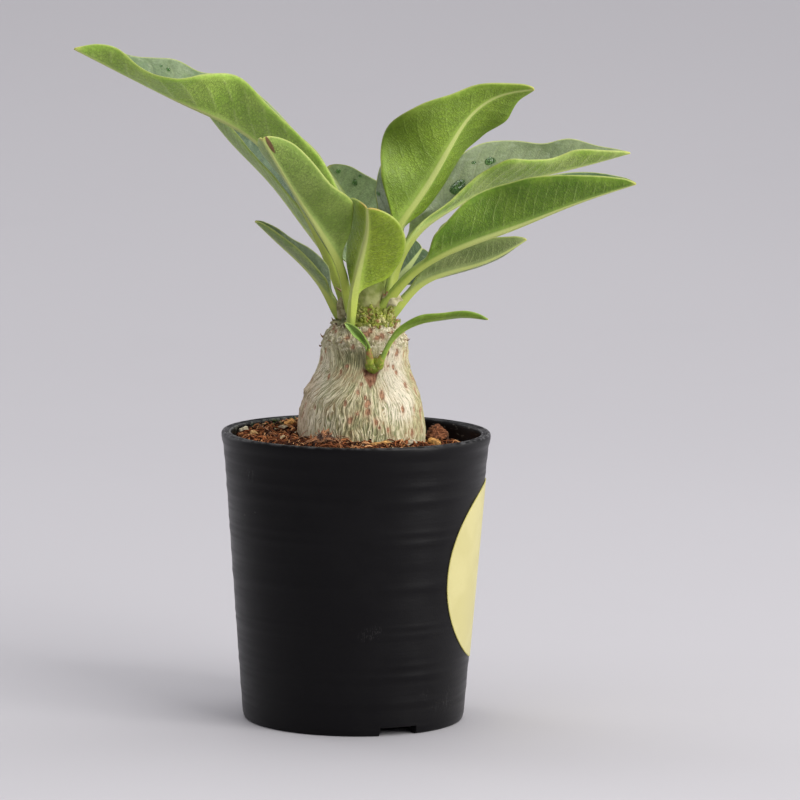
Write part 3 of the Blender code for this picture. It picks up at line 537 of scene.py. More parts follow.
def leaf_material(name, look, upper, small=False):
    m = Look(name, roughness=0.42 if upper else 0.46, specular=0.42 if upper else 0.35)
    where = m.attribute("leaf", "Vector")
    along, across, edge = m.split(where)
    more = m.attribute("leaf2", "Vector")
    s, rib, phase = m.split(more)
    flat = m.join(along, across, 0.0)
    broad = m.noise(flat, 0.09, 3.0, 0.55)
    fine = m.noise(flat, 1.1, 4.0, 0.65)
    a, b = (look["up"], look["up2"]) if upper else (look["low"], look["low2"])
    col = m.mix(m.ease(broad, 0.36, 0.64), rgba(a), rgba(b))
    col = m.mix(m.math("MULTIPLY", m.ease(fine, 0.40, 0.66), 0.42), col, rgba(np.array(a) * (0.66 if not upper else 0.76)))
    light = m.ease(m.noise(flat, 0.42, 3.0, 0.6), 0.5, 0.68)
    col = m.mix(m.math("MULTIPLY", light, 0.30), col, rgba(np.array(a) * 0.72 + np.array((200, 206, 150)) * 0.28))
    # lateral veins: soft pale lines, with a darker flank on the upper side
    near = m.math("ABSOLUTE", m.math("SUBTRACT", m.math("FRACT", m.math("ADD", phase, 0.5)), 0.5))
    wobble = m.math("MULTIPLY", m.math("SUBTRACT", m.noise(flat, 0.5, 2.0), 0.5), 0.10)
    near = m.math("ADD", near, wobble)
    blade = m.ease(rib, 1.3, 2.6)
    fade = m.math("MULTIPLY", blade, m.ease(edge, 0.6, 3.4))
    broken = m.ease(m.noise(flat, 0.22, 2.0), 0.34, 0.58)
    vein = m.math("MULTIPLY", m.ease(near, 0.13, 0.01), m.math("MULTIPLY", fade, broken))
    pale = np.array(a) * 0.5 + np.array((205, 214, 156)) * 0.5
    # the net of small veins
    net_at = m.join(m.math("MULTIPLY", along, 1.0), m.math("MULTIPLY", across, 0.62), 0.0)
    net = m.voronoi(net_at, 1.15, "DISTANCE_TO_EDGE")
    net2 = m.voronoi(flat, 2.3, "DISTANCE_TO_EDGE")
    mesh = m.math("MULTIPLY", m.ease(net, 0.16, 0.02), fade)
    mesh2 = m.math("MULTIPLY", m.ease(net2, 0.14, 0.02), fade)
    if upper:
        dark = m.math("MULTIPLY", m.ease(near, 0.22, 0.05), m.math("MULTIPLY", fade, 0.30))
        col = m.mix(dark, col, rgba(np.array(a) * 0.66))
        col = m.mix(m.math("MULTIPLY", vein, look["vein"]), col, rgba(pale))
        bloom = m.noise(flat, 0.35, 4.0, 0.65)
        col = m.mix(m.math("MULTIPLY", m.ease(bloom, 0.52, 0.72), 0.26), col, rgba((164, 176, 148)))
        col = m.mix(m.math("MULTIPLY", mesh, 0.08), col, rgba(np.array(a) * 0.6))
    else:
        col = m.mix(m.math("MULTIPLY", mesh, 0.34), col, rgba(np.array(a) * 0.58))
        col = m.mix(m.math("MULTIPLY", mesh2, 0.26), col, rgba(np.array(a) * 0.60))
        # painted shade: leaf_05's lower side is darker away from the midrib, where its bulge turns to the lamps
        if name.startswith("leaf_05"):
            col = m.mix(m.math("MULTIPLY", m.ease(m.math("ABSOLUTE", across), 7.0, 19.0), 0.42), col, rgba(np.array(a) * 0.62))
        col = m.mix(m.math("MULTIPLY", vein, look["vein"] * 1.25), col, rgba(pale))
        # fine cross wrinkles between the veins
        stretched = m.join(m.math("MULTIPLY", along, 1.9), m.math("MULTIPLY", across, 0.55), 0.0)
        wrinkle = m.noise(stretched, 1.0, 2.0, 0.5, 0.6)
        col = m.mix(m.math("MULTIPLY", m.ease(wrinkle, 0.42, 0.62), m.math("MULTIPLY", fade, 0.20)), col, rgba(np.array(a) * 0.64))
        # younger tissue near the midrib is lighter
        col = m.mix(m.math("MULTIPLY", m.ease(rib, 3.4, 1.2), 0.22), col, rgba(pale))
    # midrib and petiole
    ribline = m.ease(rib, 1.25, 0.75) if not name.startswith("shoot") else m.math("MULTIPLY", m.ease(rib, 0.5, 0.2), m.ease(s, 0.9, 0.2))
    rib_col = m.mix(m.ease(s, 0.05, 0.5), rgba((172, 184, 80)), rgba((188, 198, 118)))
    if upper:
        rib_col = m.mix(0.35, rib_col, rgba((160, 178, 120)))
    col = m.mix(m.math("MULTIPLY", ribline, 0.92 if not upper else 0.7), col, rib_col)
    ground = m.ease(s, 0.05, 0.0)
    col = m.mix(m.math("MULTIPLY", ground, 0.6), col, rgba((140, 160, 70)))
    # pale margin line
    wide = 0.62 if name.startswith(("leaf_02", "leaf_04")) else 0.06 if name.startswith("shoot") else 0.42
    rim = m.math("MULTIPLY", m.ease(edge, wide, 0.4 * wide), m.ease(s, 0.1, 0.3))
    rim = m.math("MULTIPLY", rim, m.ease(m.noise(flat, 0.25, 2.0), 0.25, 0.5, 0.35, 0.70))
    col = m.mix(rim, col, rgba((164, 172, 92)))
    tip = m.ease(s, 0.975, 1.0)
    col = m.mix(m.math("MULTIPLY", tip, 0.55), col, rgba((196, 190, 96)))
    if name.startswith("leaf_02_lower"):
        spot = m.math("ADD", m.math("POWER", m.math("MULTIPLY", m.math("SUBTRACT", s, 0.955), 18.0), 2.0),
                      m.math("POWER", m.math("MULTIPLY", m.math("ADD", across, 1.1), 1.3), 2.0))
        col = m.mix(m.ease(spot, 1.0, 0.45), col, rgba((104, 78, 48)))
    if name.startswith("leaf_04"):
        brown = m.math("MULTIPLY", m.ease(s, 0.93, 0.99), m.ease(edge, 0.9, 0.3))
        col = m.mix(brown, col, rgba((168, 150, 70)))
    m.colour(col)
    grain = m.noise(flat, 2.6, 3.0, 0.6)
    pores = m.voronoi(flat, 1.5)
    height = m.math("ADD", m.math("MULTIPLY", grain, 0.6), m.math("MULTIPLY", pores, 0.35))
    height = m.math("ADD", height, m.math("MULTIPLY", vein, 0.7 if not upper else -0.5))
    height = m.math("ADD", height, m.math("MULTIPLY", mesh, 0.7 if not upper else -0.4))
    m.bump(height, 0.7 if not upper else 0.45, 0.00018)
    m.rough(m.ease(m.noise(flat, 0.6, 3.0), 0.3, 0.7, 0.36 if upper else 0.40, 0.52 if upper else 0.56))
    m.shader.inputs["Subsurface Weight"].default_value = 0.0
    return m.mat


def build_leaf(name, leaf, look, seed):
    small = name in ("leaf_08", "leaf_09", "leaf_10") or name.startswith("shoot")
    ns, nh = (110, 13) if small else (170, 20)
    if name == "shoot_leaf_2":
        ns, nh = 60, 9
    g = leaf_sheet(name, leaf, look, ns, nh, seed)
    rows, cols = g["upper"].shape[:2]
    n = rows * cols
    points = np.concatenate([g["upper"].reshape(-1, 3), g["lower"].reshape(-1, 3)])
    top = grid_faces(rows, cols)
    # turn the upper faces the way that the upper normals point
    p0, p1, p3 = points[top[:, 0]], points[top[:, 1]], points[top[:, 3]]
    facing = (np.cross(p1 - p0, p3 - p0) * g["normals"].reshape(-1, 3)[top[:, 0]]).sum(1)
    flip = np.sum(facing) < 0
    if flip:
        top = top[:, ::-1]
    bottom = grid_faces(rows, cols, flip=not flip, start=n)
    edges = []
    for j, turn in ((0, flip), (cols - 1, not flip)):
        i = np.arange(rows - 1) * cols + j
        band = np.stack([i, i + cols, i + cols + n, i + n], 1)
        edges.append(band[:, ::-1] if turn else band)
    for r, turn in ((0, not flip), (rows - 1, flip)):
        i = r * cols + np.arange(cols - 1)
        band = np.stack([i, i + 1, i + 1 + n, i + n], 1)
        edges.append(band[:, ::-1] if turn else band)
    edges = np.concatenate(edges)
    faces = [top, bottom, edges]
    kinds = np.concatenate([np.zeros(len(top)), np.ones(len(bottom)), np.ones(len(edges))])
    one = np.stack([g["along"], g["across"], g["edge"]], -1).reshape(-1, 3)
    two = np.stack([g["s"], g["rib"], g["phase"]], -1).reshape(-1, 3)
    mats = [leaf_material(name + "_upper", look, True, small), leaf_material(name + "_lower", look, False, small)]
    obj = make_mesh(name + "_skin", points, faces, dict(leaf=np.concatenate([one, one]), leaf2=np.concatenate([two, two])), mats, kinds)
    shown(obj, "shoot_leaf" if name.startswith("shoot") else "leaf", name)
    return g


# ---------------------------------------------------------------------------
# droplets: flat domes that stand on a leaf
# ---------------------------------------------------------------------------
def water():
    m = Look("water", roughness=0.03, specular=0.5)
    m.shader.inputs["Base Color"].default_value = (0.42, 0.66, 0.38, 1)
    m.shader.inputs["Transmission Weight"].default_value = 1.0
    m.shader.inputs["IOR"].default_value = 1.33
    return m.mat


def nearest_on(g, px, py, face):
    """The leaf point seen nearest to a pixel, its normal on that face, and the leaf's direction there."""
    P = g[face].reshape(-1, 3)
    q = proj(P)
    i = int(np.argmin(((q - np.array([px, py])) ** 2).sum(1)))
    n = g["normals"].reshape(-1, 3)[i] * (1 if face == "upper" else -1)
    cols = g[face].shape[1]
    j = min(i + cols, len(P) - 1)
    k = max(i - cols, 0)
    return P[i], unit(n), unit(P[j] - P[k])


def droplet(points, faces, at, n, along, size, seed):
    rings, steps = 7, 18
    t = unit(along - n * (along @ n))
    b = np.cross(n, t)
    first = sum(len(p) for p in points)
    block = []
    for k in range(rings):
        f = k / (rings - 1)
        ang = f * math.pi / 2
        r, h = math.cos(ang), math.sin(ang)
        for i in range(steps):
            th = 2 * math.pi * i / steps
            wob = 1 + 0.13 * math.sin(2 * th + seed) + 0.07 * math.sin(3 * th + 2.3 * seed)
            block.append(at + t * (r * math.cos(th) * size[0] * wob) + b * (r * math.sin(th) * size[1] * wob) + n * (h * size[2] + 0.03))
    points.append(np.array(block))
    faces.append(grid_faces(rings, steps, wrap=True, start=first))


# ---------------------------------------------------------------------------
# caudex
# ---------------------------------------------------------------------------
def caudex_r(z):
    r = np.array([c[0] for c in CAUDEX])[::-1]
    h = np.array([c[1] for c in CAUDEX])[::-1]
    return np.interp(z, h, r)


def caudex_x(z):
    """The trunk leans a little to the right as it rises."""
    return np.interp(z, [104, 112, 122, 130.5, 133, 137], [1.8, 2.1, 2.45, 2.7, 3.0, 3.2])


# lenticels and scars on the bark: picture x, picture y, half width, half height (mm)
LENTICELS = [
    (396.5, 354, 0.85, 1.35), (405, 385, 0.75, 1.5), (382, 396, 0.85, 1.6), (367.5, 404, 0.8, 1.4), (368, 412, 0.75, 1.2), (376, 422, 0.75, 1.2),
    (402.5, 410, 0.55, 1.3), (414, 410, 0.5, 1.1), (350, 421, 0.8, 1.1), (358, 392, 0.7, 1.0), (357, 414, 0.5, 0.7), (365, 398, 0.5, 0.8),
    (348, 337, 0.9, 0.8), (370, 331, 1.0, 0.8), (382, 336, 1.1, 0.9), (394, 342, 0.6, 0.9), (412, 433, 0.6, 1.2), (396, 373, 0.5, 0.8),
    (393, 367, 0.5, 0.7), (321, 362, 0.6, 1.4), (303, 394, 0.7, 1.5), (305, 405, 0.5, 1.0), (303, 416, 0.6, 1.2), (345.5, 403, 0.5, 1.1),
    (334, 328, 0.9, 0.8), (315, 408, 0.4, 0.9), (388, 430, 0.5, 0.8), (341, 372, 0.5, 0.8), (388, 366, 0.5, 0.5), (410, 369, 0.4, 0.7),
    (329, 377, 0.4, 0.9), (347, 366, 0.7, 0.5), (379, 428, 0.4, 0.6), (361, 384, 0.5, 0.6),
    (366, 334, 1.3, 1.0), (377, 338, 1.2, 0.8), (387, 352, 0.7, 1.2), (336, 331, 0.8, 0.6), (393, 333, 0.5, 0.9), (353, 347, 0.6, 0.7), (326, 350, 0.5, 0.8),
]


def on_bark(px, py):
    """(angle from the front, height) of the bark point seen at a pixel."""
    y = -15.0
    for _ in range(12):
        x, _, z = unproj(px, py, y)
        r = float(caudex_r(z))
        y = -math.sqrt(max(r * r - (x - float(caudex_x(z))) ** 2, 0.04))
    return math.atan2(x - float(caudex_x(z)), -y), z


def turn_gap(T, t0):
    return (T - t0 + math.pi) % (2 * math.pi) - math.pi


def build_caudex():
    cols = 640
    z_rows = np.concatenate([np.linspace(89.0, 132.4, 108), np.linspace(132.6, 134.2, 9), np.linspace(134.5, 138.6, 15), np.linspace(138.8, 141.15, 9)])
    r_rows = caudex_r(z_rows)
    k = np.array([1, 4, 6, 4, 1.0]) / 16
    pad = np.concatenate([r_rows[:1].repeat(2), r_rows, r_rows[-1:].repeat(2)])
    r_soft = np.convolve(pad, k, "valid")
    r_rows = np.where(z_rows < 132.0, r_soft, r_rows)
    r_rows = np.concatenate([r_rows, [2.0, 0.02]])
    z_rows = np.concatenate([z_rows, [141.3, 141.4]])
    th = np.linspace(-math.pi, math.pi, cols, endpoint=False)
    T, Z = np.meshgrid(th, z_rows)
    R = np.repeat(r_rows[:, None], cols, 1)

    def near(a, b, seed):
        return noise3(np.stack([np.cos(T) * a, np.sin(T) * a, Z / b], -1), seed)

    low = fbm(np.stack([np.cos(T) * 2.2, np.sin(T) * 2.2, Z / 9.0], -1), 3, 11)
    # the strands run up the trunk and draw together below the side shoot
    t_shoot = on_bark(371, 372)[0]
    gap = turn_gap(T, t_shoot)
    k_up = 1.10 * smooth(106.0, 121.0, Z) - 0.65 * smooth(121.0, 131.0, Z)
    bent = T + gap * k_up * np.exp(-((gap / 1.3) ** 2))
    bent = bent + 0.034 * near(7.0, 4.2, 21) + 0.022 * near(2.2, 14.0, 22) + 0.012 * near(13.0, 1.9, 23)
    U = bent / (2 * math.pi)
    n1 = 112
    strands = 0.5 + 0.5 * np.cos(2 * math.pi * (U * n1 + 0.55 * near(14.0, 2.8, 31)))
    broad = 0.5 + 0.5 * np.cos(2 * math.pi * (U * 47 + 0.6 * near(6.0, 6.0, 33)))
    ridge = np.clip(0.68 * strands + 0.32 * broad, 0, 1)
    ridge = ridge * (0.75 + 0.25 * (0.5 + 0.5 * near(18.0, 1.6, 41)))
    edge_z = 133.4 + 0.35 * near(3.2, 3.0, 51) - 0.9 * smooth(0.5, 1.1, np.abs(turn_gap(T, math.radians(-4))) * -1 + 1.5)
    neck = smooth(-0.4, 0.5, Z - edge_z)
    collar = smooth(121.0, 127.5, Z) * (1 - neck)
    rust = np.zeros_like(Z)
    halo = np.zeros_like(Z)
    for i, (px, py, hw, hh) in enumerate(LENTICELS):
        t0, z0 = on_bark(px, py)
        d = np.hypot(turn_gap(T, t0) * R / (hw * 1.15), (Z - z0) / (hh * 1.05)) + 0.34 * near(20.0, 0.8, 60 + i) + 0.2 * near(9.0, 2.2, 160 + i)
        rust = np.maximum(rust, 1 - smooth(0.45, 1.2, d))
        halo = np.maximum(halo, 1 - smooth(0.9, 2.1, d))
    rng = np.random.default_rng(5)
    for _ in range(70):
        t0, z0 = rng.uniform(1.25, 2 * math.pi - 1.25), rng.uniform(96, 131)
        hw, hh = rng.uniform(0.4, 0.95), rng.uniform(0.7, 1.7)
        d = np.hypot(turn_gap(T, t0) * R / hw, (Z - z0) / hh) + 0.28 * near(14.0, 1.1, 77)
        rust = np.maximum(rust, 1 - smooth(0.6, 1.15, d))
        halo = np.maximum(halo, 1 - smooth(0.9, 2.0, d))
    # the scar below the side shoot, a triangle on its point
    t0, z0 = on_bark(370.5, 379.5)
    across = np.abs(turn_gap(T, t0) * R)
    tri = (across - np.clip((Z - (z0 - 3.3)) * 0.50, 0, 3.0)) + 0.5 * near(12.0, 1.2, 91)
    scar = (1 - smooth(-0.3, 0.45, tri)) * smooth(z0 - 3.7, z0 - 2.7, Z) * (1 - smooth(z0 + 2.8, z0 + 3.8, Z))
    t1, z1 = on_bark(385, 366)
    flesh = 1 - smooth(0.6, 1.3, np.hypot(turn_gap(T, t1) * R / 1.6, (Z - z1) / 2.2) + 0.3 * near(10.0, 1.4, 95))
    # the dark green patch above and left of the shoot, and the green streaks near the mix
    t2, z2 = on_bark(351, 355)
    shade = 1 - smooth(0.5, 1.25, np.hypot(turn_gap(T, t2) * R / 4.6, (Z - z2) / 4.6) + 0.35 * near(7.0, 2.4, 97))
    t3, z3 = on_bark(345, 420)
    shade = np.maximum(shade, 0.45 * (1 - smooth(0.4, 1.3, np.hypot(turn_gap(T, t3) * R / 9.0, (Z - z3) / 7.0) + 0.4 * near(8.0, 5.0, 98))))
    flush = smooth(0.62, 0.15, np.abs(turn_gap(T, -1.42))) * (1 - smooth(112, 120, Z))
    # painted light: a paler band down the right front of the trunk, weaker near the mix, and another on the left below
    # the collar
    light = np.exp(-((turn_gap(T, 0.72) / 0.52) ** 2)) * (0.20 + 0.80 * smooth(96.5, 106.0, Z)) + 0.62 * np.exp(-((turn_gap(T, -1.05) / 0.42) ** 2)) * smooth(131.0, 119.0, Z)
    height = 0.36 * (ridge - 0.4) * (1 - neck) * (1 - 0.35 * collar) + 0.30 * low
    height = height - 0.20 * rust * (1 - scar) - 0.35 * scar + 0.10 * halo * (1 - rust)
    bumps = fbm(np.stack([np.cos(T) * 9, np.sin(T) * 9, Z / 1.4], -1), 4, 71)
    height = height + (0.50 * neck + 0.55 * collar) * bumps
    height = height + 0.42 * collar * fbm(np.stack([np.cos(T) * 21, np.sin(T) * 21, Z / 0.75], -1), 2, 72)
    # a bulge at the left, a leaf base that stands out as a pointed ledge, and low knots
    height = height + 0.85 * np.exp(-((turn_gap(T, -1.5) / 0.28) ** 2) - ((Z - 110.4) / 1.5) ** 2)
    height = height + 1.0 * smooth(0.42, 0.0, np.abs(turn_gap(T, -1.35))) * smooth(131.6, 132.9, Z) * (1 - smooth(133.2, 133.8, Z))
    for t4, z4, w4, h4 in ((-1.45, 128.8, 0.12, 0.5), (1.5, 128.4, 0.12, 0.45), (-1.5, 104.0, 0.14, 0.35), (1.5, 119.0, 0.12, 0.3), (1.45, 113.5, 0.14, 0.3)):
        height = height + h4 * np.exp(-((turn_gap(T, t4) / w4) ** 2) - ((Z - z4) / 0.9) ** 2)
    height = height * smooth(141.4, 139.5, Z)
    rr = R + height
    points = np.stack([caudex_x(Z) + rr * np.sin(T), -rr * np.cos(T), Z], -1).reshape(-1, 3)
    rows = len(z_rows)
    faces = grid_faces(rows, cols, wrap=True)

    m = Look("bark", roughness=0.6, specular=0.4)
    r_, n_, s_ = m.split(m.attribute("bark", "Vector"))
    rust_, collar_, flush_ = m.split(m.attribute("bark2", "Vector"))
    halo_, shade_, painted_light_ = m.split(m.attribute("bark3", "Vector"))
    strand_at = m.attribute("strand", "Vector")
    pos = m.place()
    fine = m.noise(pos, 900.0, 4.0, 0.6)
    mid = m.noise(pos, 260.0, 3.0, 0.55)
    big = m.noise(pos, 70.0, 3.0, 0.5)
    # strands: a net of long cells whose walls are the pale strands, twice over
    warp = m.noise(strand_at, 0.35, 2.0, 0.5)
    shift = m.node("VectorMath", operation="ADD")
    m.put(shift.inputs[0], strand_at)
    m.put(shift.inputs[1], m.join(m.math("MULTIPLY", m.math("SUBTRACT", warp, 0.5), 2.3), m.math("MULTIPLY", m.math("SUBTRACT", warp, 0.5), 2.3), 0.0))
    at = shift.outputs[0]
    band_a = m.noise(m.scaled(at, (0.95, 0.95, 0.26)), 1.0, 1.0, 0.4)
    band_b = m.noise(m.scaled(at, (1.7, 1.7, 0.42)), 1.0, 1.0, 0.4)
    line_a = m.ease(m.math("ABSOLUTE", m.math("SUBTRACT", band_a, 0.5)), 0.085, 0.012)
    line_b = m.ease(m.math("ABSOLUTE", m.math("SUBTRACT", band_b, 0.5)), 0.085, 0.012)
    grain = m.noise(m.scaled(at, (3.0, 3.0, 1.3)), 1.0, 3.0, 0.6)
    tone = m.math("ADD", m.math("MULTIPLY", line_a, 0.40), m.math("MULTIPLY", line_b, 0.26))
    tone = m.math("ADD", tone, m.math("MULTIPLY", r_, 0.30))
    tone = m.math("ADD", tone, m.math("MULTIPLY", m.math("SUBTRACT", grain, 0.5), 0.50))
    # painted light: the bands raise the tone, so more pale strand shows there
    tone = m.math("ADD", tone, m.math("MULTIPLY", m.math("SUBTRACT", painted_light_, 0.22), 0.26))
    tone = m.math("SUBTRACT", tone, m.math("MULTIPLY", shade_, 0.05))
    groove = m.mix(m.ease(mid, 0.42, 0.6), rgba((154, 150, 110)), rgba((170, 152, 114)))
    groove = m.mix(m.ease(big, 0.48, 0.64), groove, rgba((136, 140, 98)))
    groove = m.mix(m.math("MULTIPLY", m.ease(m.noise(pos, 150.0, 3.0, 0.6), 0.52, 0.66), 0.6), groove, rgba((168, 128, 94)))
    crest = m.mix(m.ease(fine, 0.35, 0.65), rgba((198, 188, 148)), rgba((214, 204, 170)))
    crest = m.mix(m.ease(big, 0.55, 0.40), crest, rgba((190, 184, 138)))
    # painted light: grooves and crests on the left side of the trunk are painted paler against the shade there
    left_side_painted_light = m.math("MULTIPLY", m.ease(m.split(pos)[0], 0.0, -0.012), 0.5)
    groove = m.mix(m.math("MULTIPLY", left_side_painted_light, 0.6), groove, rgba((186, 180, 146)))
    # painted highlight: the crests turn creamier inside the painted light bands
    crest = m.mix(m.ease(painted_light_, 0.35, 0.95), crest, rgba((229, 219, 196)))
    crest = m.mix(left_side_painted_light, crest, rgba((236, 228, 202)))
    col = m.mix(m.ease(tone, 0.15, 0.54), groove, crest)
    deep = m.ease(tone, 0.15, -0.02)
    col = m.mix(m.math("MULTIPLY", deep, 0.7), col, rgba((92, 88, 52)))
    col = m.mix(m.math("MULTIPLY", m.math("MULTIPLY", shade_, m.ease(tone, 0.55, 0.25)), 0.42), col, rgba((98, 106, 64)))
    top = m.mix(m.ease(mid, 0.42, 0.58), rgba((188, 180, 146)), rgba((146, 140, 102)))
    top = m.mix(m.ease(fine, 0.52, 0.60), top, rgba((226, 216, 190)))
    top = m.mix(m.ease(m.voronoi(pos, 560.0), 0.32, 0.12), top, rgba((98, 76, 50)))
    top = m.mix(m.ease(fine, 0.40, 0.30), top, rgba((94, 92, 56)))
    col = m.mix(m.math("MULTIPLY", m.ease(collar_, 0.45, 1.0), 0.80), col, top)
    col = m.mix(m.math("MULTIPLY", flush_, 0.40), col, rgba((190, 152, 124)))
    speck = m.ease(m.voronoi(pos, 620.0), 0.20, 0.08)
    col = m.mix(m.math("MULTIPLY", speck, 0.45), col, rgba((112, 92, 62)))
    col = m.mix(m.math("MULTIPLY", halo_, 0.34), col, rgba((206, 168, 138)))
    brown = m.mix(m.ease(fine, 0.42, 0.60), rgba((128, 84, 56)), rgba((186, 138, 104)))
    ring = m.math("MULTIPLY", m.ease(rust_, 0.15, 0.45), m.ease(rust_, 0.85, 0.5))
    brown = m.mix(m.math("MULTIPLY", ring, 0.5), brown, rgba((92, 60, 38)))
    col = m.mix(m.math("MULTIPLY", m.ease(rust_, 0.1, 0.8), m.ease(fine, 0.30, 0.52, 0.55, 0.92)), col, brown)
    scar_c = m.mix(m.ease(mid, 0.4, 0.6), rgba((124, 78, 52)), rgba((158, 114, 84)))
    scar_c = m.mix(m.ease(fine, 0.54, 0.64), scar_c, rgba((92, 52, 34)))
    col = m.mix(s_, col, scar_c)
    green = m.mix(m.ease(mid, 0.42, 0.6), rgba((98, 110, 30)), rgba((134, 142, 44)))
    green = m.mix(m.ease(fine, 0.54, 0.66), green, rgba((176, 172, 96)))
    green = m.mix(m.ease(m.noise(pos, 420.0, 2.0), 0.60, 0.68), green, rgba((128, 84, 48)))
    left = m.ease(m.split(pos)[0], -0.0020, -0.0050)
    green = m.mix(left, green, m.mix(m.ease(mid, 0.42, 0.6), rgba((104, 106, 72)), rgba((140, 138, 100))))
    col = m.mix(n_, col, green)
    m.colour(col)
    relief = m.math("ADD", m.math("MULTIPLY", tone, 1.6), m.math("MULTIPLY", fine, 0.35))
    m.bump(relief, 0.75, 0.00030)
    m.rough(m.ease(tone, 0.1, 0.8, 0.72, 0.46))
    n_round = 118 / (2 * math.pi)
    strand = np.stack([n_round * np.cos(bent), n_round * np.sin(bent), Z / 2.4], -1).reshape(-1, 3)
    obj = make_mesh("caudex_skin", points, faces,
                    dict(bark=np.stack([ridge, neck, scar], -1).reshape(-1, 3), bark2=np.stack([rust, collar, flush], -1).reshape(-1, 3),
                         bark3=np.stack([np.maximum(halo, flesh), shade, light], -1).reshape(-1, 3), strand=strand), [m.mat])
    shown(obj, "caudex_bark", "caudex")


def cone_block(points, faces, base, tip, radius, steps=6, bend=0.0):
    """A slender spine from base to tip."""
    first = sum(len(p) for p in points)
    d = unit(tip - base)
    ref = np.array([0, 0, 1.0]) if abs(d[2]) < 0.9 else np.array([1.0, 0, 0])
    a = unit(np.cross(d, ref))
    b = np.cross(d, a)
    block = []
    levels = [0.0, 0.3, 0.65, 1.0]
    for f in levels:
        c = base + (tip - base) * f + b * bend * math.sin(f * math.pi) * 0.3
        r = radius * (1 - f) ** 0.8 + 0.02
        for i in range(steps):
            th = 2 * math.pi * i / steps
            block.append(c + a * r * math.cos(th) + b * r * math.sin(th))
    points.append(np.array(block))
    faces.append(grid_faces(len(levels), steps, wrap=True, flip=True, start=first))


def build_spines():
    points, faces = [], []
    edge = [  # root pixel, tip pixel: spines that stand out against the background
        ((334, 321), (331.5, 316.8)), ((323, 337), (320.4, 333.2)), ((406, 341), (410.2, 338.4)), ((344, 292), (334.3, 286.2)),
        ((399, 329), (401.2, 326.4)), ((409.5, 371), (411.2, 369.6)), ((401, 333), (403.4, 331.0)), ((320.5, 346), (319.0, 344.5)),
    ]
    for (rx, ry), (tx, ty) in edge:
        a = unproj(rx, ry, -1.0)
        b = unproj(tx, ty, -2.0)
        cone_block(points, faces, a, b, 0.55 if rx == 344 else 0.34, bend=0.6)
    rng = np.random.default_rng(12)
    for _ in range(40):
        t = rng.uniform(-math.pi, math.pi)
        z = rng.uniform(124.0, 138.0)
        r = float(caudex_r(z)) - 0.1
        o = np.array([math.sin(t), -math.cos(t), 0.0])
        base = np.array([float(caudex_x(z)) + r * o[0], r * o[1], z])
        for side in (-1, 1):
            lean = np.array([math.cos(t) * side * 0.5, math.sin(t) * side * 0.5, 0.5])
            cone_block(points, faces, base + lean * 0.25, base + (o + lean) * rng.uniform(0.6, 1.4), 0.2, 5)
    m = Look("spine", roughness=0.5)
    tone = m.noise(m.place(), 400.0, 2.0)
    m.colour(m.mix(m.ease(tone, 0.35, 0.65), rgba((118, 84, 58)), rgba((176, 142, 104))))
    obj = make_mesh("spines", np.concatenate(points), np.concatenate(faces), None, [m.mat])
    shown(obj, "caudex_bark")


# ---------------------------------------------------------------------------
# rocks, flakes and fibres
# ---------------------------------------------------------------------------
def icosphere(level):
    t = (1 + 5**0.5) / 2
    v = [(-1, t, 0), (1, t, 0), (-1, -t, 0), (1, -t, 0), (0, -1, t), (0, 1, t), (0, -1, -t), (0, 1, -t), (t, 0, -1), (t, 0, 1), (-t, 0, -1), (-t, 0, 1)]
    f = [(0, 11, 5), (0, 5, 1), (0, 1, 7), (0, 7, 10), (0, 10, 11), (1, 5, 9), (5, 11, 4), (11, 10, 2), (10, 7, 6), (7, 1, 8),
         (3, 9, 4), (3, 4, 2), (3, 2, 6), (3, 6, 8), (3, 8, 9), (4, 9, 5), (2, 4, 11), (6, 2, 10), (8, 6, 7), (9, 8, 1)]
    v = [list(unit(np.array(p, float))) for p in v]
    for _ in range(level):
        cache, out = {}, []

        def middle(a, b):
            key = (min(a, b), max(a, b))
            if key not in cache:
                v.append(list(unit((np.array(v[a]) + np.array(v[b])))))
                cache[key] = len(v) - 1
            return cache[key]

        for a, b, c in f:
            ab, bc, ca = middle(a, b), middle(b, c), middle(c, a)
            out += [(a, ab, ca), (b, bc, ab), (c, ca, bc), (ab, bc, ca)]
        f = out
    return np.array(v), np.array(f)


def rotation(rng):
    q = unit(rng.normal(size=4))
    w, x, y, z = q
    return np.array([[1 - 2 * (y * y + z * z), 2 * (x * y - z * w), 2 * (x * z + y * w)],
                     [2 * (x * y + z * w), 1 - 2 * (x * x + z * z), 2 * (y * z - x * w)],
                     [2 * (x * z - y * w), 2 * (y * z + x * w), 1 - 2 * (x * x + y * y)]])


def mix_level(x, y):
    t = np.clip((0.95 * x + 0.3 * y - 12.0) / 14.0, 0, 1)
    level = MIX_TOP - MIX_DROP * t * t * (3 - 2 * t)
    r = np.hypot(x, y)
    level = level - 2.6 * smooth(38.6, 41.0, r) * smooth(0.35, -0.1, (y - 6.0) / 40.0)
    level = level - 0.7 * smooth(38.6, 41.0, r)
    d = np.hypot(x - CAUDEX_X, y)
    return level + 0.75 * smooth(27.0, 21.5, d) * smooth(16.0, 4.0, x)


def mix_surface(x, y):
    p = np.stack([x / 3.2, y / 3.2, np.zeros_like(x)], -1)
    q = np.stack([x / 1.1, y / 1.1, np.zeros_like(x) + 4], -1)
    return mix_level(x, y) + 0.75 * fbm(p, 3, 3) + 0.28 * fbm(q, 3, 8) - 0.25


SOIL_TINTS = [(102, 54, 30), (78, 40, 24), (124, 70, 40), (58, 32, 20), (134, 82, 48), (94, 48, 28), (42, 26, 18)]


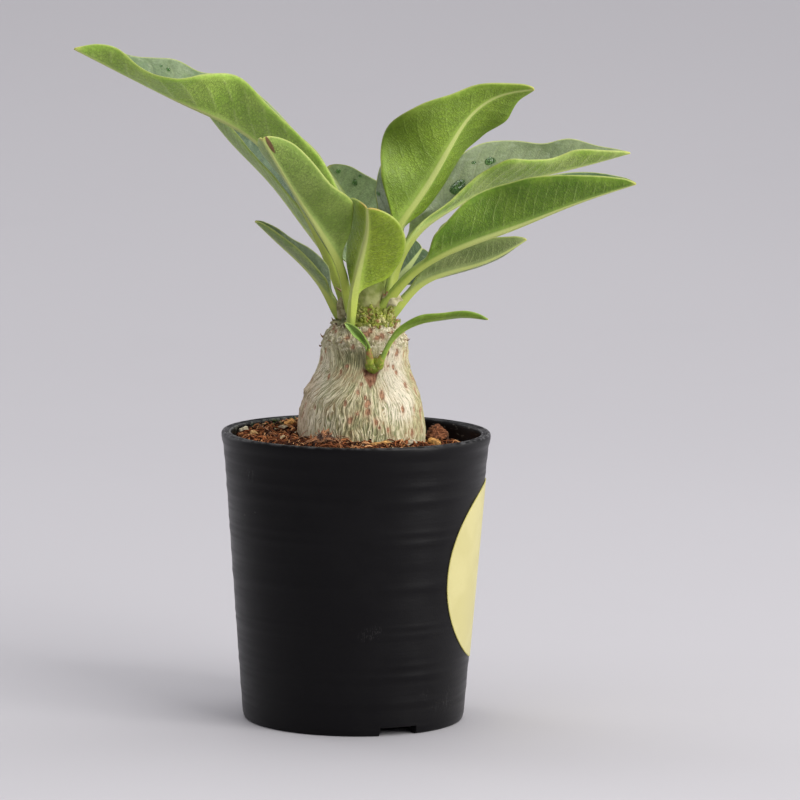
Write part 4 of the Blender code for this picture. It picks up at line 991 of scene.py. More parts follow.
def build_mix():
    rings, steps = 88, 300
    r = np.concatenate([np.linspace(17.5, 40.2, rings - 6), np.linspace(40.4, 41.2, 6)])
    th = np.linspace(0, 2 * math.pi, steps, endpoint=False)
    Rr, Th = np.meshgrid(r, th, indexing="ij")
    x, y = Rr * np.cos(Th), Rr * np.sin(Th)
    z = mix_surface(x, y)
    z[-3:] -= np.array([1.2, 3.0, 6.0])[:, None]
    points = np.stack([x, y, z], -1).reshape(-1, 3)
    m = Look("mix_ground", roughness=0.94, specular=0.08)
    pos = m.place()
    a = m.noise(pos, 900.0, 4.0, 0.65)
    b = m.noise(pos, 260.0, 3.0)
    col = m.mix(m.ease(a, 0.35, 0.65), rgba((20, 12, 9)), rgba((62, 35, 21)))
    col = m.mix(m.ease(b, 0.58, 0.72), col, rgba((92, 54, 32)))
    m.colour(col)
    m.bump(a, 0.8, 0.0006)
    obj = make_mesh("potting_mix_skin", points, grid_faces(rings, steps, wrap=True, flip=True), None, [m.mat])
    shown(obj, "potting_mix", "potting_mix")

    # grains
    rng = np.random.default_rng(21)
    base_v, base_f = icosphere(1)
    small_v, small_f = icosphere(0)
    points, faces, tints = [], [], []
    total = 0

    def spots(count):
        p = rng.uniform(-40.3, 40.3, (4 * count, 2))
        ok = (np.hypot(p[:, 0], p[:, 1]) < 40.2) & (np.hypot(p[:, 0] - CAUDEX_X, p[:, 1]) > 20.9)
        return p[ok][:count]

    where = spots(1300)
    levels = mix_surface(where[:, 0], where[:, 1])
    for (x, y), level in zip(where, levels):
        kind = rng.random()
        size = rng.uniform(0.3, 0.85) if kind < 0.88 else rng.uniform(0.6, 1.3)
        v, f = (base_v, base_f) if size > 0.75 else (small_v, small_f)
        shape = v * (1 + 0.28 * (rng.random((len(v), 1)) - 0.5)) * np.array([1.0, rng.uniform(0.6, 1.0), rng.uniform(0.35, 0.8)]) * size
        shape = shape @ rotation(rng).T
        points.append(shape + np.array([x, y, level + 0.12 * size]))
        faces.append(f + total)
        total += len(v)
        if kind < 0.91:
            tint = np.array(SOIL_TINTS[rng.integers(len(SOIL_TINTS))]) * rng.uniform(0.7, 1.15)
        elif kind < 0.96:
            tint = np.array((186, 132, 74)) * rng.uniform(0.8, 1.1)
        else:
            tint = np.array((190, 176, 148)) * rng.uniform(0.8, 1.08)
        tints.append(np.repeat(lin(np.clip(tint, 0, 255))[None], len(v), 0))
    m = Look("mix_grain", roughness=0.92, specular=0.08)
    col = m.attribute("tint", "Color")
    n = m.noise(m.place(), 1400.0, 3.0, 0.6)
    m.colour(m.mix(m.ease(n, 0.35, 0.7, 0.0, 0.45), col, (0.02, 0.012, 0.008, 1)))
    m.bump(n, 0.6, 0.0003)
    obj = make_mesh("mix_grains", np.concatenate(points), np.concatenate(faces), dict(tint=np.concatenate(tints)), [m.mat], smooth_shade=False)
    shown(obj, "potting_mix")

    # coir fibres, most of them lying, some looping up
    count, knots, sides = 4700, 6, 3
    where = spots(count)
    length = np.where(np.arange(count) % 9 > 0, rng.uniform(2.0, 9.0, count), rng.uniform(8.0, 15.0, count))
    turns = rng.normal(0, 0.32, count)[:, None] + rng.normal(0, 0.16, (count, knots))
    turns[:, 0] = rng.uniform(0, 2 * math.pi, count)
    heading = np.cumsum(turns, 1)
    stride = length[:, None] / (knots - 1)
    x = where[:, :1] + np.cumsum(np.cos(heading) * stride, 1) - np.cos(heading[:, :1]) * stride
    y = where[:, 1:] + np.cumsum(np.sin(heading) * stride, 1) - np.sin(heading[:, :1]) * stride
    shrink = np.minimum(1.0, 40.6 / np.maximum(np.hypot(x, y), 1e-6))
    x, y = x * shrink, y * shrink
    clear = np.hypot(x - CAUDEX_X, y).min(1) > 21.4
    x, y, count = x[clear], y[clear], int(clear.sum())
    rise = np.where(np.arange(count) % 4 > 0, np.abs(rng.normal(0, 0.4, count)), rng.uniform(0.5, 2.2, count))
    arch = np.sin(np.linspace(0, math.pi, knots)) ** 1.3
    z = mix_surface(x, y) + rise[:, None] * arch + rng.uniform(-0.1, 0.35, count)[:, None]
    path = np.stack([x, y, z], -1)
    radius = np.where(np.arange(count) % 4 > 0, rng.uniform(0.06, 0.16, count), rng.uniform(0.18, 0.36, count))
    taper = np.sin(np.linspace(0.25, math.pi - 0.25, knots)) ** 0.5
    d = np.gradient(path, axis=1)
    d = d / np.maximum(np.linalg.norm(d, axis=-1), 1e-6)[..., None]
    a = np.cross(d, np.array([0.01, 0.013, 1.0]))
    a = a / np.maximum(np.linalg.norm(a, axis=-1), 1e-6)[..., None]
    b = np.cross(d, a)
    wide = (radius[:, None] * taper)[..., None]
    turn = 2 * math.pi * np.arange(sides) / sides
    points = path[:, :, None] + (a[:, :, None] * np.cos(turn)[:, None] + b[:, :, None] * np.sin(turn)[:, None]) * wide[:, :, None]
    one = grid_faces(knots, sides, wrap=True)
    faces = (one[None] + (np.arange(count) * knots * sides)[:, None, None]).reshape(-1, one.shape[1])
    kinds = np.array([(142, 84, 50), (98, 52, 30), (184, 122, 78), (64, 34, 21), (160, 98, 60), (112, 62, 36), (44, 25, 17), (216, 160, 112)])
    tint = lin(kinds[rng.integers(len(kinds), size=count)] * rng.uniform(0.75, 1.12, count)[:, None])
    tints = np.repeat(tint, knots * sides, 0)
    m = Look("coir_fibre", roughness=0.8, specular=0.12)
    col = m.attribute("tint", "Color")
    n = m.noise(m.place(), 1800.0, 2.0)
    m.colour(m.mix(m.ease(n, 0.4, 0.7, 0.0, 0.35), col, (0.05, 0.02, 0.01, 1)))
    obj = make_mesh("coir_fibres", points.reshape(-1, 3), faces, dict(tint=tints), [m.mat])
    shown(obj, "potting_mix")
    return rng


def path_tube(points, faces, path, radius, sides=6, taper=True):
    first = sum(len(p) for p in points)
    path = np.asarray(path, float)
    d = unit(np.gradient(path, axis=0))
    ref = np.array([0, 0, 1.0]) if abs(d[0][2]) < 0.9 else np.array([1.0, 0, 0])
    a = unit(np.cross(d, ref))
    b = np.cross(d, a)
    n = len(path)
    t = np.sin(np.linspace(0.3, math.pi - 0.3, n)) ** 0.5 if taper else np.ones(n)
    ring = np.stack([path + (a * math.cos(2 * math.pi * j / sides) + b * math.sin(2 * math.pi * j / sides)) * (radius * t)[:, None] for j in range(sides)], 1)
    points.append(ring.reshape(-1, 3))
    faces.append(grid_faces(n, sides, wrap=True, start=first))


CHIPS = {
    "coco_chunk": (27.6, 16.5, 7.2, 5.6, 6.2, 25, (116, 70, 46), 0.1),
    "pumice_1": (-34.3, -1.5, 4.2, 3.6, 2.4, 10, (206, 166, 112), -0.9),
    "pumice_2": (8.4, -26.8, 6.4, 4.4, 2.6, 8, (222, 168, 100), -0.6),
    "pumice_3": (18.6, -20.8, 3.4, 2.8, 2.2, 140, (220, 208, 178), -0.6),
    "pumice_4": (-37.4, 8.4, 3.8, 3.0, 2.2, 55, (214, 204, 176), -0.5),
    "pumice_5": (-24.6, -13.0, 4.2, 3.2, 2.2, 100, (216, 192, 150), -0.6),
    "pumice_6": (26.4, 3.6, 4.6, 3.6, 3.6, 15, (216, 160, 92), 0.2),
    "pumice_7": (-22.4, 23.4, 4.4, 3.6, 3.0, 80, (216, 156, 86), -0.3),
    "pumice_8": (-24.4, 10.2, 4.4, 3.6, 2.4, 120, (196, 178, 148), -0.6),
    "pumice_9": (-6.0, 32.0, 4.2, 3.6, 2.6, 30, (206, 168, 112), -0.6),
}


def build_chips():
    fine_ball, plain_ball = icosphere(4), icosphere(3)
    for k, (name, (x, y, sx, sy, sz, turn, tint, sink)) in enumerate(CHIPS.items()):
        v, f = fine_ball if name in ("coco_chunk", "pumice_2") else plain_ball
        box_lo, box_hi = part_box(name)
        centre_z = (box_lo[2] + box_hi[2]) * 500.0
        rough = fbm(v * 1.3 + k * 7, 3, 100 + k)
        # facets: pull the ball in to a few random planes
        rng = np.random.default_rng(300 + k)
        shape = v.copy()
        for _ in range(11):
            n = unit(rng.normal(size=3))
            h = rng.uniform(0.55, 0.85)
            over = np.maximum(v @ n - h, 0)
            shape = shape - n[None] * over[:, None] * 0.85
        shape = shape * (1 + 0.10 * rough[:, None] + 0.04 * fbm(v * 5 + k, 3, 7 + k)[:, None])
        if name == "coco_chunk":
            shape = shape * (1 + 0.05 * np.sin(v[:, 2:3] * 26 + 3 * rough[:, None]))
        shape = shape * np.array([sx, sy, sz]) * 0.56
        a = math.radians(turn)
        c, s = math.cos(a), math.sin(a)
        shape = shape @ np.array([[c, s, 0], [-s, c, 0], [0, 0, 1.0]])
        m = Look(name + "_stone", roughness=0.88, specular=0.25)
        pos = m.place()
        n1 = m.noise(pos, 700.0, 4.0, 0.6)
        pits = m.voronoi(pos, 1500.0)
        dark = tuple(int(t * 0.62) for t in tint)
        col = m.mix(m.ease(n1, 0.36, 0.66), rgba(tint), rgba(dark))
        col = m.mix(m.ease(pits, 0.20, 0.05), col, rgba(tuple(int(t * 0.45) for t in tint)))
        if name == "coco_chunk":
            fibre = m.noise(m.scaled(pos, (400.0, 2600.0, 1200.0)), 1.0, 3.0)
            col = m.mix(m.ease(fibre, 0.5, 0.66), col, rgba((160, 104, 70)))
        m.colour(col)
        m.bump(m.math("ADD", n1, m.math("MULTIPLY", pits, 0.5)), 0.7, 0.0003)
        obj = make_mesh(name + "_skin", shape + np.array([x, y, centre_z + sink]), f, None, [m.mat])
        shown(obj, "coco_chunk" if name == "coco_chunk" else "pumice", name)


def build_litter():
    """Single pieces that the picture shows clearly: long fibres, moss, and the husks, stem top and bracts at the neck.
    """
    points, faces = [], []

    def seen_path(pix, y, radius, bend=0.4, n=14):
        a = np.array([unproj(px, py, yy) for (px, py), yy in zip(pix, y)])
        t = np.linspace(0, 1, n)
        k = np.linspace(0, 1, len(a))
        path = np.stack([np.interp(t, k, a[:, i]) for i in range(3)], 1)
        path[:, 2] += bend * np.sin(t * math.pi)
        path_tube(points, faces, path, radius)

    seen_path([(258, 424.5), (268, 431), (278, 439)], (14, 2, -12), 0.16)
    rng = np.random.default_rng(31)
    for i in range(58):  # a tuft of coir against the foot of the trunk
        x0, x1 = rng.uniform(304, 344), 325 + rng.normal(0, 7.5)
        y1 = 426.5 + 0.06 * (x1 - 325) ** 2 + rng.uniform(0, 8)
        near_ = rng.uniform(-24.8, -23.2)
        seen_path([(x0, 442.5), (0.6 * x1 + 0.4 * x0 + rng.normal(0, 1.2), 0.5 * (442 + y1)), (x1 + rng.normal(0, 1.5), min(y1, 440.0))], (near_, near_ + 0.9, near_ + 1.6), rng.uniform(0.09, 0.24), 0.0)
    seen_path([(297, 441), (303, 434), (308, 430)], (-22, -20, -17), 0.14, 0.2)
    seen_path([(447.5, 431.5), (448, 436), (447.8, 441.5)], (4, 4, 3), 0.17, 0.0)
    seen_path([(336, 436), (345, 437.5), (352, 440)], (-23, -24, -25), 0.15, 0.3)
    seen_path([(262, 438), (270, 434), (279, 437)], (-14, -8, -10), 0.13, 0.3)
    m = Look("long_fibre", roughness=0.7)
    n = m.noise(m.place(), 640.0, 4.0, 0.65)
    m.colour(m.mix(m.ease(n, 0.38, 0.64), rgba((56, 32, 21)), rgba((176, 122, 82))))
    obj = make_mesh("long_fibres", np.concatenate(points), np.concatenate(faces), None, [m.mat])
    shown(obj, "potting_mix")

    # moss at the back left, against the wall
    rng = np.random.default_rng(9)
    v, f = icosphere(1)
    pts, fcs, tints, total = [], [], [], 0
    for i in range(420):
        t = rng.uniform(math.radians(118), math.radians(150))
        r = rng.uniform(33.5, 41.6)
        x, y = r * math.cos(t), r * math.sin(t)
        clump = 0.5 + 0.5 * float(noise3(np.array([x / 3.0, y / 3.0, 2.0]), 5))
        if clump < 0.42:
            continue
        size = rng.uniform(0.18, 0.5)
        shape = (v * (1 + 0.5 * (rng.random((len(v), 1)) - 0.5)) * np.array([1, 0.7, 0.45]) * size) @ rotation(rng).T
        z = float(mix_surface(np.array(x), np.array(y))) + rng.uniform(0, 1.5) * clump + 0.8 * max(0.0, r - 39.5)
        pts.append(shape + np.array([x, y, z]))
        fcs.append(f + total)
        total += len(v)
        tint = np.array([(52, 84, 36), (38, 64, 30), (74, 100, 44), (96, 112, 56)][rng.integers(4)])
        tints.append(np.repeat(lin(tint)[None], len(v), 0))
    m = Look("moss", roughness=0.85)
    m.colour(m.attribute("tint", "Color"))
    m.bump(m.noise(m.place(), 2500.0, 2.0), 0.4, 0.0002)
    obj = make_mesh("moss_tuft", np.concatenate(pts), np.concatenate(fcs), dict(tint=np.concatenate(tints)), [m.mat])
    shown(obj, "potting_mix")

    # neck: moss-green tubercles, husks and pale tips
    pts, fcs, tints, total = [], [], [], 0
    for i in range(360):
        t = rng.uniform(-math.pi, math.pi)
        z = rng.uniform(132.6, 140.0)
        if i % 3 == 0:
            t, z = rng.normal(0.45, 0.5), rng.uniform(132.2, 137.0)
        r = float(caudex_r(z)) + rng.uniform(-0.2, 0.15)
        o = np.array([math.sin(t), -math.cos(t), 0.0])
        side = np.array([math.cos(t), math.sin(t), 0.0])
        up = unit(np.array([rng.normal(0, 0.25), rng.normal(0, 0.25), 1.0]) + o * 0.5)
        size = rng.uniform(0.4, 1.15)
        shape = v * (1 + 0.35 * (rng.random((len(v), 1)) - 0.5))
        shape = shape[:, :1] * side * size * rng.uniform(0.4, 0.9) + shape[:, 1:2] * o * size * 0.45 + shape[:, 2:3] * up * size * rng.uniform(0.7, 1.35)
        pts.append(shape + np.array([float(caudex_x(z)), 0, z]) + o * r)
        fcs.append(f + total)
        total += len(v)
        pick = rng.random()
        # the pieces on the left are paler and greyer: partly their own grey, partly painted light against the shade on
        # that side
        if math.sin(t) < -0.45:
            tint = (146, 146, 108) if pick < 0.55 else (184, 178, 146) if pick < 0.85 else (112, 90, 62)
        else:
            tint = (136, 144, 50) if pick < 0.50 else (158, 160, 78) if pick < 0.74 else (152, 112, 68) if pick < 0.86 else (196, 190, 128)
        tints.append(np.repeat(lin(np.array(tint) * rng.uniform(0.8, 1.1))[None], len(v), 0))
    m = Look("husk", roughness=0.7)
    col = m.attribute("tint", "Color")
    n = m.noise(m.place(), 1300.0, 3.0)
    m.colour(m.mix(m.ease(n, 0.4, 0.7, 0.0, 0.3), col, rgba((104, 92, 44))))
    m.bump(n, 0.5, 0.0002)
    obj = make_mesh("leaf_bases", np.concatenate(pts), np.concatenate(fcs), dict(tint=np.concatenate(tints)), [m.mat])
    shown(obj, "caudex_bark")

    # the rounded stem top, seen between the petioles
    v5, f5 = icosphere(4)
    c = unproj(368.0, 301.0, -3.2)
    ribs = np.cos(v5[:, :1] * 16 + 1.2 * fbm(v5 * 2.2, 2, 4)[:, None])
    upright = np.concatenate([v5[:, :2] * (1 - np.abs(v5[:, 2:3]) ** 5) ** 0.5 / np.maximum(np.hypot(v5[:, :1], v5[:, 1:2]), 1e-3), v5[:, 2:3]], 1)
    lumps = fbm(np.concatenate([upright[:, :2] * 2.2, upright[:, 2:3] * 3.2], 1), 4, 15)
    shape = upright * np.array([5.6, 4.0, 7.6]) * (1 + np.array([1.0, 1.0, 0.3]) * (0.09 * lumps[:, None] + 0.004 * ribs))
    shape[:, 2] += 0.9 * fbm(np.concatenate([upright[:, :2] * 2.0, np.zeros((len(v5), 1))], 1), 3, 16) * smooth(0.3, 0.9, v5[:, 2])
    m = Look("stem_top", roughness=0.62, specular=0.2)
    pos = m.place()
    n1 = m.noise(pos, 260.0, 3.0)
    n2 = m.noise(pos, 900.0, 3.0)
    col = m.mix(m.ease(n1, 0.38, 0.62), rgba((120, 128, 62)), rgba((148, 150, 96)))
    col = m.mix(m.math("MULTIPLY", m.ease(n2, 0.5, 0.66), 0.2), col, rgba((176, 180, 124)))
    x_, y_, z_ = m.split(pos)
    low_ = m.ease(z_, float(c[2] + 2.0) * MM, float(c[2] + 6.0) * MM)
    col = m.mix(m.math("MULTIPLY", low_, 0.75), col, rgba((100, 116, 40)))
    pale_ = m.math("MULTIPLY", m.ease(m.noise(pos, 150.0, 3.0, 0.6), 0.5, 0.62), m.ease(z_, float(c[2] + 2.5) * MM, float(c[2] + 0.5) * MM))
    col = m.mix(m.math("MULTIPLY", pale_, 0.6), col, rgba((178, 174, 128)))
    seam = m.math("ABSOLUTE", m.math("SUBTRACT", m.noise(m.scaled(pos, (230.0, 230.0, 120.0)), 1.0, 1.0), 0.5))
    col = m.mix(m.math("MULTIPLY", m.ease(seam, 0.03, 0.004), 0.5), col, rgba((110, 92, 46)))
    m.colour(col)
    m.bump(n2, 0.35, 0.0002)
    obj = make_mesh("stem_top", shape + c, f5, None, [m.mat])
    shown(obj, "caudex_bark")

    # papery bracts: curved scales that hug the stem
    pts, fcs, uvs, total = [], [], [], 0
    scales = [  # centre pixel, depth, half width, half height, turn, curl
        (391.5, 298.5, -7.2, 2.9, 2.5, 0.55, 1.2), (343.5, 308.0, -5.0, 2.3, 3.6, 0.1, 1.1), (346.0, 297.0, -2.6, 1.1, 2.8, 0.25, 0.7),
    ]
    nu, nv = 22, 16
    for px, py, depth, hw, hh, turn, curl in scales:
        c = unproj(px, py, depth)
        uu, vv = np.meshgrid(np.linspace(-1, 1, nu), np.linspace(-1, 1, nv))
        narrow = np.sqrt(np.clip(1 - 0.75 * np.clip(vv, 0, 1) ** 2, 0.05, 1))
        lx = uu * hw * narrow
        lz = vv * (hh + 0.45 * np.sin(uu * 5.2 + px)) + 0.25 * np.cos(uu * 2.6 + px)
        ly = curl * (uu**2) * 0.9 - 0.35 * vv + 0.32 * noise3(np.stack([uu * 2.4, vv * 3, np.full_like(uu, px)], -1), 3)
        ct, st = math.cos(turn), math.sin(turn)
        front_face = np.stack([c[0] + lx * ct - lz * st, c[1] + ly, c[2] + lx * st + lz * ct], -1).reshape(-1, 3)
        back_face = front_face + np.array([0, 0.22, 0])
        pts.append(np.concatenate([front_face, back_face]))
        n = nu * nv
        fcs.append(grid_faces(nv, nu, start=total))
        fcs.append(grid_faces(nv, nu, flip=True, start=total + n))
        ring = np.concatenate([np.arange(nu), np.arange(1, nv) * nu + nu - 1, (nv - 1) * nu + np.arange(nu - 2, -1, -1), np.arange(nv - 2, 0, -1) * nu])
        nxt = np.roll(ring, -1)
        fcs.append(np.stack([ring, ring + n, nxt + n, nxt], 1) + total)
        uvs.append(np.concatenate([np.stack([uu, vv, np.full_like(uu, float(px < 350))], -1).reshape(-1, 3)] * 2))
        total += 2 * n
    m = Look("bract", roughness=0.6, specular=0.3)
    u_, v_, k_ = m.split(m.attribute("scale", "Vector"))
    n1 = m.noise(m.place(), 500.0, 3.0)
    col = m.mix(m.ease(n1, 0.38, 0.62), rgba((146, 138, 100)), rgba((188, 180, 144)))
    col = m.mix(m.ease(v_, 0.6, 0.95), col, rgba((134, 98, 62)))
    col = m.mix(m.math("MULTIPLY", k_, 0.75), col, m.mix(m.ease(n1, 0.4, 0.6), rgba((104, 98, 54)), rgba((160, 154, 116))))
    m.colour(col)
    m.bump(n1, 0.5, 0.0002)
    obj = make_mesh("bracts", np.concatenate(pts), np.concatenate(fcs), dict(scale=np.concatenate(uvs)), [m.mat])
    shown(obj, "caudex_bark")


# ---------------------------------------------------------------------------
# side shoot
# ---------------------------------------------------------------------------
def build_side_shoot():
    v, f = icosphere(5)
    t, z = on_bark(373, 365)
    base = np.array([float(caudex_x(z)) + float(caudex_r(z)) * math.sin(t), -float(caudex_r(z)) * math.cos(t), z])
    x, y, zz = v[:, 0], v[:, 1], v[:, 2]
    wide = 2.55 - 0.35 * smooth(-0.2, 0.9, zz)
    shape = np.stack([x * wide, y * 2.2 - 0.6 + 0.5 * zz, zz * 2.6 + 0.3 * smooth(-0.2, 1.0, zz)], -1) + base
    wrinkle = fbm(v * 3.1, 4, 61)
    pinch = 1.1 * np.exp(-((x / 0.30) ** 2)) * smooth(-0.1, 0.8, zz)
    shape = shape + v * (0.30 * wrinkle[:, None] + 0.14 * fbm(v * 8, 3, 12)[:, None] - pinch[:, None])
    # the two petioles rise out of it
    pts, fcs = [shape], [f]
    for tip, r0 in (((8.4, -17.25, 124.0), 1.45), ((3.9, -17.2, 126.2), 1.3)):
        start = base + np.array([0.55 * (tip[0] - base[0]), -0.9, -0.2])
        k = np.linspace(0, 1, 12)[:, None]
        path = start + (np.array(tip) - start) * k + np.array([0.0, -0.5, 0.0]) * np.sin(k * math.pi)
        first = sum(len(q) for q in pts)
        d = unit(np.gradient(path, axis=0))
        a = unit(np.cross(d, np.array([0.0, 1.0, 0.2])))
        b = np.cross(d, a)
        radius = (r0 * (1.25 - 0.6 * smooth(0, 1, k[:, 0])))[:, None]
        ring = np.stack([path + (a * math.cos(math.pi * j / 7) + b * math.sin(math.pi * j / 7)) * radius for j in range(14)], 1)
        pts.append(ring.reshape(-1, 3))
        fcs.append(grid_faces(12, 14, wrap=True, start=first))
    m = Look("shoot_green", roughness=0.5, specular=0.4)
    pos = m.place()
    n1 = m.noise(pos, 420.0, 3.0)
    n2 = m.noise(pos, 1100.0, 3.0)
    col = m.mix(m.ease(n1, 0.4, 0.62), rgba((108, 124, 30)), rgba((150, 162, 56)))
    col = m.mix(m.ease(n2, 0.58, 0.7), col, rgba((178, 148, 92)))
    z = m.split(pos)[2]
    col = m.mix(m.ease(z, float(base[2]) * MM, float(base[2] - 2.6) * MM), col, rgba((98, 108, 24)))
    col = m.mix(m.math("MULTIPLY", m.ease(z, float(base[2] + 1.6) * MM, float(base[2] + 3.0) * MM), m.ease(n2, 0.42, 0.55)), col, rgba((146, 100, 58)))
    m.colour(col)
    m.bump(n2, 0.5, 0.0003)
    obj = make_mesh("side_shoot_skin", np.concatenate(pts), fcs, None, [m.mat])
    shown(obj, "side_shoot_green", "side_shoot")


# ---------------------------------------------------------------------------
# pot and label
# ---------------------------------------------------------------------------
def wall_r(z):
    return 37.0 + 7.5 * np.asarray(z, float) / POT_H


RIPPLES = [(83.2, 0.10, 1.1), (78.0, 0.13, 1.3), (67.8, 0.09, 1.0), (64.2, 0.11, 1.2), (49.5, 0.14, 1.6), (36.4, 0.10, 1.0),
           (33.5, 0.10, 1.2), (23.3, 0.09, 1.0), (19.7, 0.12, 1.2), (10.9, 0.10, 1.2), (57.0, 0.06, 1.4), (88.5, 0.06, 1.0)]


def build_pot():
    steps = 280
    rim = [
        (41.9, 92.2), (41.82, 93.6), (41.8, 95.2), (41.84, 95.8), (41.96, 96.18), (42.16, 96.36), (42.38, 96.36), (42.54, 96.2), (42.66, 96.0),
        (42.80, 95.96), (42.94, 96.08), (43.08, 96.3), (43.24, 96.38), (43.38, 96.3), (43.48, 96.12), (43.60, 96.08), (43.74, 96.2), (43.90, 96.44),
        (44.12, 96.58), (44.36, 96.58), (44.58, 96.48), (44.78, 96.26), (44.92, 95.96), (45.0, 95.55), (44.98, 94.9), (44.90, 94.2), (44.76, 93.5),
        (44.58, 92.9), (44.42, 92.4), (44.32, 91.9), (44.26, 91.5),
    ]
    inner = [(0.0, 7.0), (6.0, 7.0), (20.0, 7.0), (33.2, 7.0), (35.0, 7.6), (35.6, 9.2)] + [(float(wall_r(z)) - 2.2, z) for z in np.linspace(14, 88, 14)]
    zs = np.linspace(91.0, 2.0, 170)
    wall = np.array(wall_r(zs)) + 0.16 * smooth(84.0, 91.0, zs)
    for z0, amp, wide in RIPPLES:
        wall = wall + amp * np.exp(-((zs - z0) / wide) ** 2)
        wall = wall - 0.5 * amp * np.exp(-((zs - z0 + 1.9 * wide) / (1.5 * wide)) ** 2)
    outer = list(zip(wall, zs))
    foot = [(36.98, 1.4), (36.84, 0.8), (36.6, 0.34), (36.3, 0.08), (36.0, 0.0), (34.2, 0.0), (33.8, 0.3), (33.6, 1.6), (33.4, 4.2), (32.8, 5.0), (20.0, 5.0), (6.0, 5.0), (0.0, 5.0)]
    profile = np.array(inner + rim + outer + foot)
    th = []
    edges = []
    for az in (24.0, 144.0, 264.0):
        half = math.degrees(6.5 / 36.5)
        edges += [az - half, az + half]
    base = np.linspace(0, 360, steps, endpoint=False)
    extra = []
    for e in edges:
        extra += [e - 0.8, e - 0.12, e + 0.12, e + 0.8]
    az = np.unique(np.concatenate([[b for b in base if min(abs((b - e + 180) % 360 - 180) for e in edges) > 0.9], np.array(extra) % 360]))
    cols = len(az)
    rad = np.radians(az)
    in_notch = np.zeros(cols)
    for a0 in (24.0, 144.0, 264.0):
        d = np.abs((az - a0 + 180) % 360 - 180)
        in_notch = np.maximum(in_notch, smooth(half + 0.13, half - 0.13, d))
    R = np.repeat(profile[:, :1], cols, 1)
    Z = np.repeat(profile[:, 1:], cols, 1)
    lift = 2.9 * in_notch
    outside = np.arange(len(profile)) >= len(inner) + len(rim)
    low = (Z < lift[None]) & outside[:, None] & (R > 33.0)
    newZ = np.where(low, lift[None] + 0.02 * Z, Z)
    newR = np.where(low & (R > 36.2), wall_r(2.9), R)
    wob = 1 + 0.0
    # moulded walls are never quite round
    outof = 0.12 * np.cos(2 * rad + 0.6) * 1.0 + 0.05 * np.cos(3 * rad + 1.9)
    newR = np.where(newR > 30, newR + outof[None] * smooth(20, 96, newZ), newR) * wob
    points = np.stack([newR * np.sin(rad)[None], -newR * np.cos(rad)[None], newZ], -1).reshape(-1, 3)
    faces = grid_faces(len(profile), cols, wrap=True, flip=False)
    m = Look("black_plastic", roughness=0.4, specular=0.15)
    pos = m.place()
    x, y, z = m.split(pos)
    film = m.noise(pos, 60.0, 4.0, 0.6)
    streak = m.noise(m.scaled(pos, (40.0, 40.0, 700.0)), 1.0, 3.0, 0.55)
    col = m.mix(m.ease(film, 0.4, 0.65), rgba((5, 4, 6)), rgba((8, 7, 9)))
    dust = m.ease(m.voronoi(pos, 190.0, "F1"), 0.055, 0.02)
    pick = m.ease(m.noise(pos, 37.0, 2.0), 0.56, 0.6)
    col = m.mix(m.math("MULTIPLY", m.math("MULTIPLY", dust, pick), 0.5), col, rgba((150, 146, 140)))
    scratch = m.noise(m.scaled(pos, (900.0, 900.0, 130.0)), 1.0, 2.0, 0.5, 1.2)
    zone = m.ease(m.noise(pos, 45.0, 2.0), 0.66, 0.74)
    line = m.math("MULTIPLY", m.ease(m.math("ABSOLUTE", m.math("SUBTRACT", scratch, 0.5)), 0.010, 0.002), zone)
    col = m.mix(m.math("MULTIPLY", line, 0.28), col, rgba((120, 118, 116)))
    # residue on the inner wall above the mix
    radius = m.math("SQRT", m.math("ADD", m.math("MULTIPLY", x, x), m.math("MULTIPLY", y, y)))
    inside = m.math("MULTIPLY", m.ease(radius, 0.0429, 0.0424), m.ease(z, 0.080, 0.088))
    crust = m.ease(m.noise(pos, 420.0, 4.0, 0.65), 0.47, 0.6)
    left = m.ease(x, 0.012, -0.008)
    col = m.mix(m.math("MULTIPLY", m.math("MULTIPLY", inside, crust), m.math("MULTIPLY", left, 0.55)), col, rgba((128, 132, 120)))
    few = m.ease(m.noise(m.scaled(pos, (300.0, 300.0, 900.0)), 1.0, 3.0), 0.6, 0.68)
    col = m.mix(m.math("MULTIPLY", m.math("MULTIPLY", inside, few), 0.35), col, rgba((140, 138, 130)))
    # the rim top is painted lighter grey: partly wear, partly painted highlight along its front edge and painted
    # reflection, strongest at its left and right ends
    rim_wear_and_sheen = m.math("MULTIPLY", m.ease(z, 0.0957, 0.0965), m.ease(m.noise(pos, 300.0, 3.0), 0.4, 0.65))
    rim_end_sheen = m.ease(m.math("ABSOLUTE", x), 0.030, 0.044, 0.22, 0.60)
    col = m.mix(m.math("MULTIPLY", rim_wear_and_sheen, rim_end_sheen), col, rgba((118, 118, 120)))
    m.colour(col)
    m.rough(m.ease(m.math("ADD", m.math("MULTIPLY", streak, 0.6), m.math("MULTIPLY", film, 0.4)), 0.35, 0.65, 0.31, 0.41))
    m.bump(m.math("ADD", m.noise(pos, 1800.0, 2.0), m.math("MULTIPLY", streak, 1.5)), 0.2, 0.00014)
    obj = make_mesh("pot_skin", points, faces, None, [m.mat])
    obj.data.set_sharp_from_angle(angle=math.radians(50))
    shown(obj, "pot_plastic", "pot")


def label_place(u, v, out):
    slope = math.atan2(7.5, POT_H)
    z = 51.0 + v * np.cos(slope)
    r = wall_r(z) + out
    a = math.radians(90.0) + u / float(wall_r(51.0))
    return np.stack([r * np.sin(a), -r * np.cos(a), z], -1)


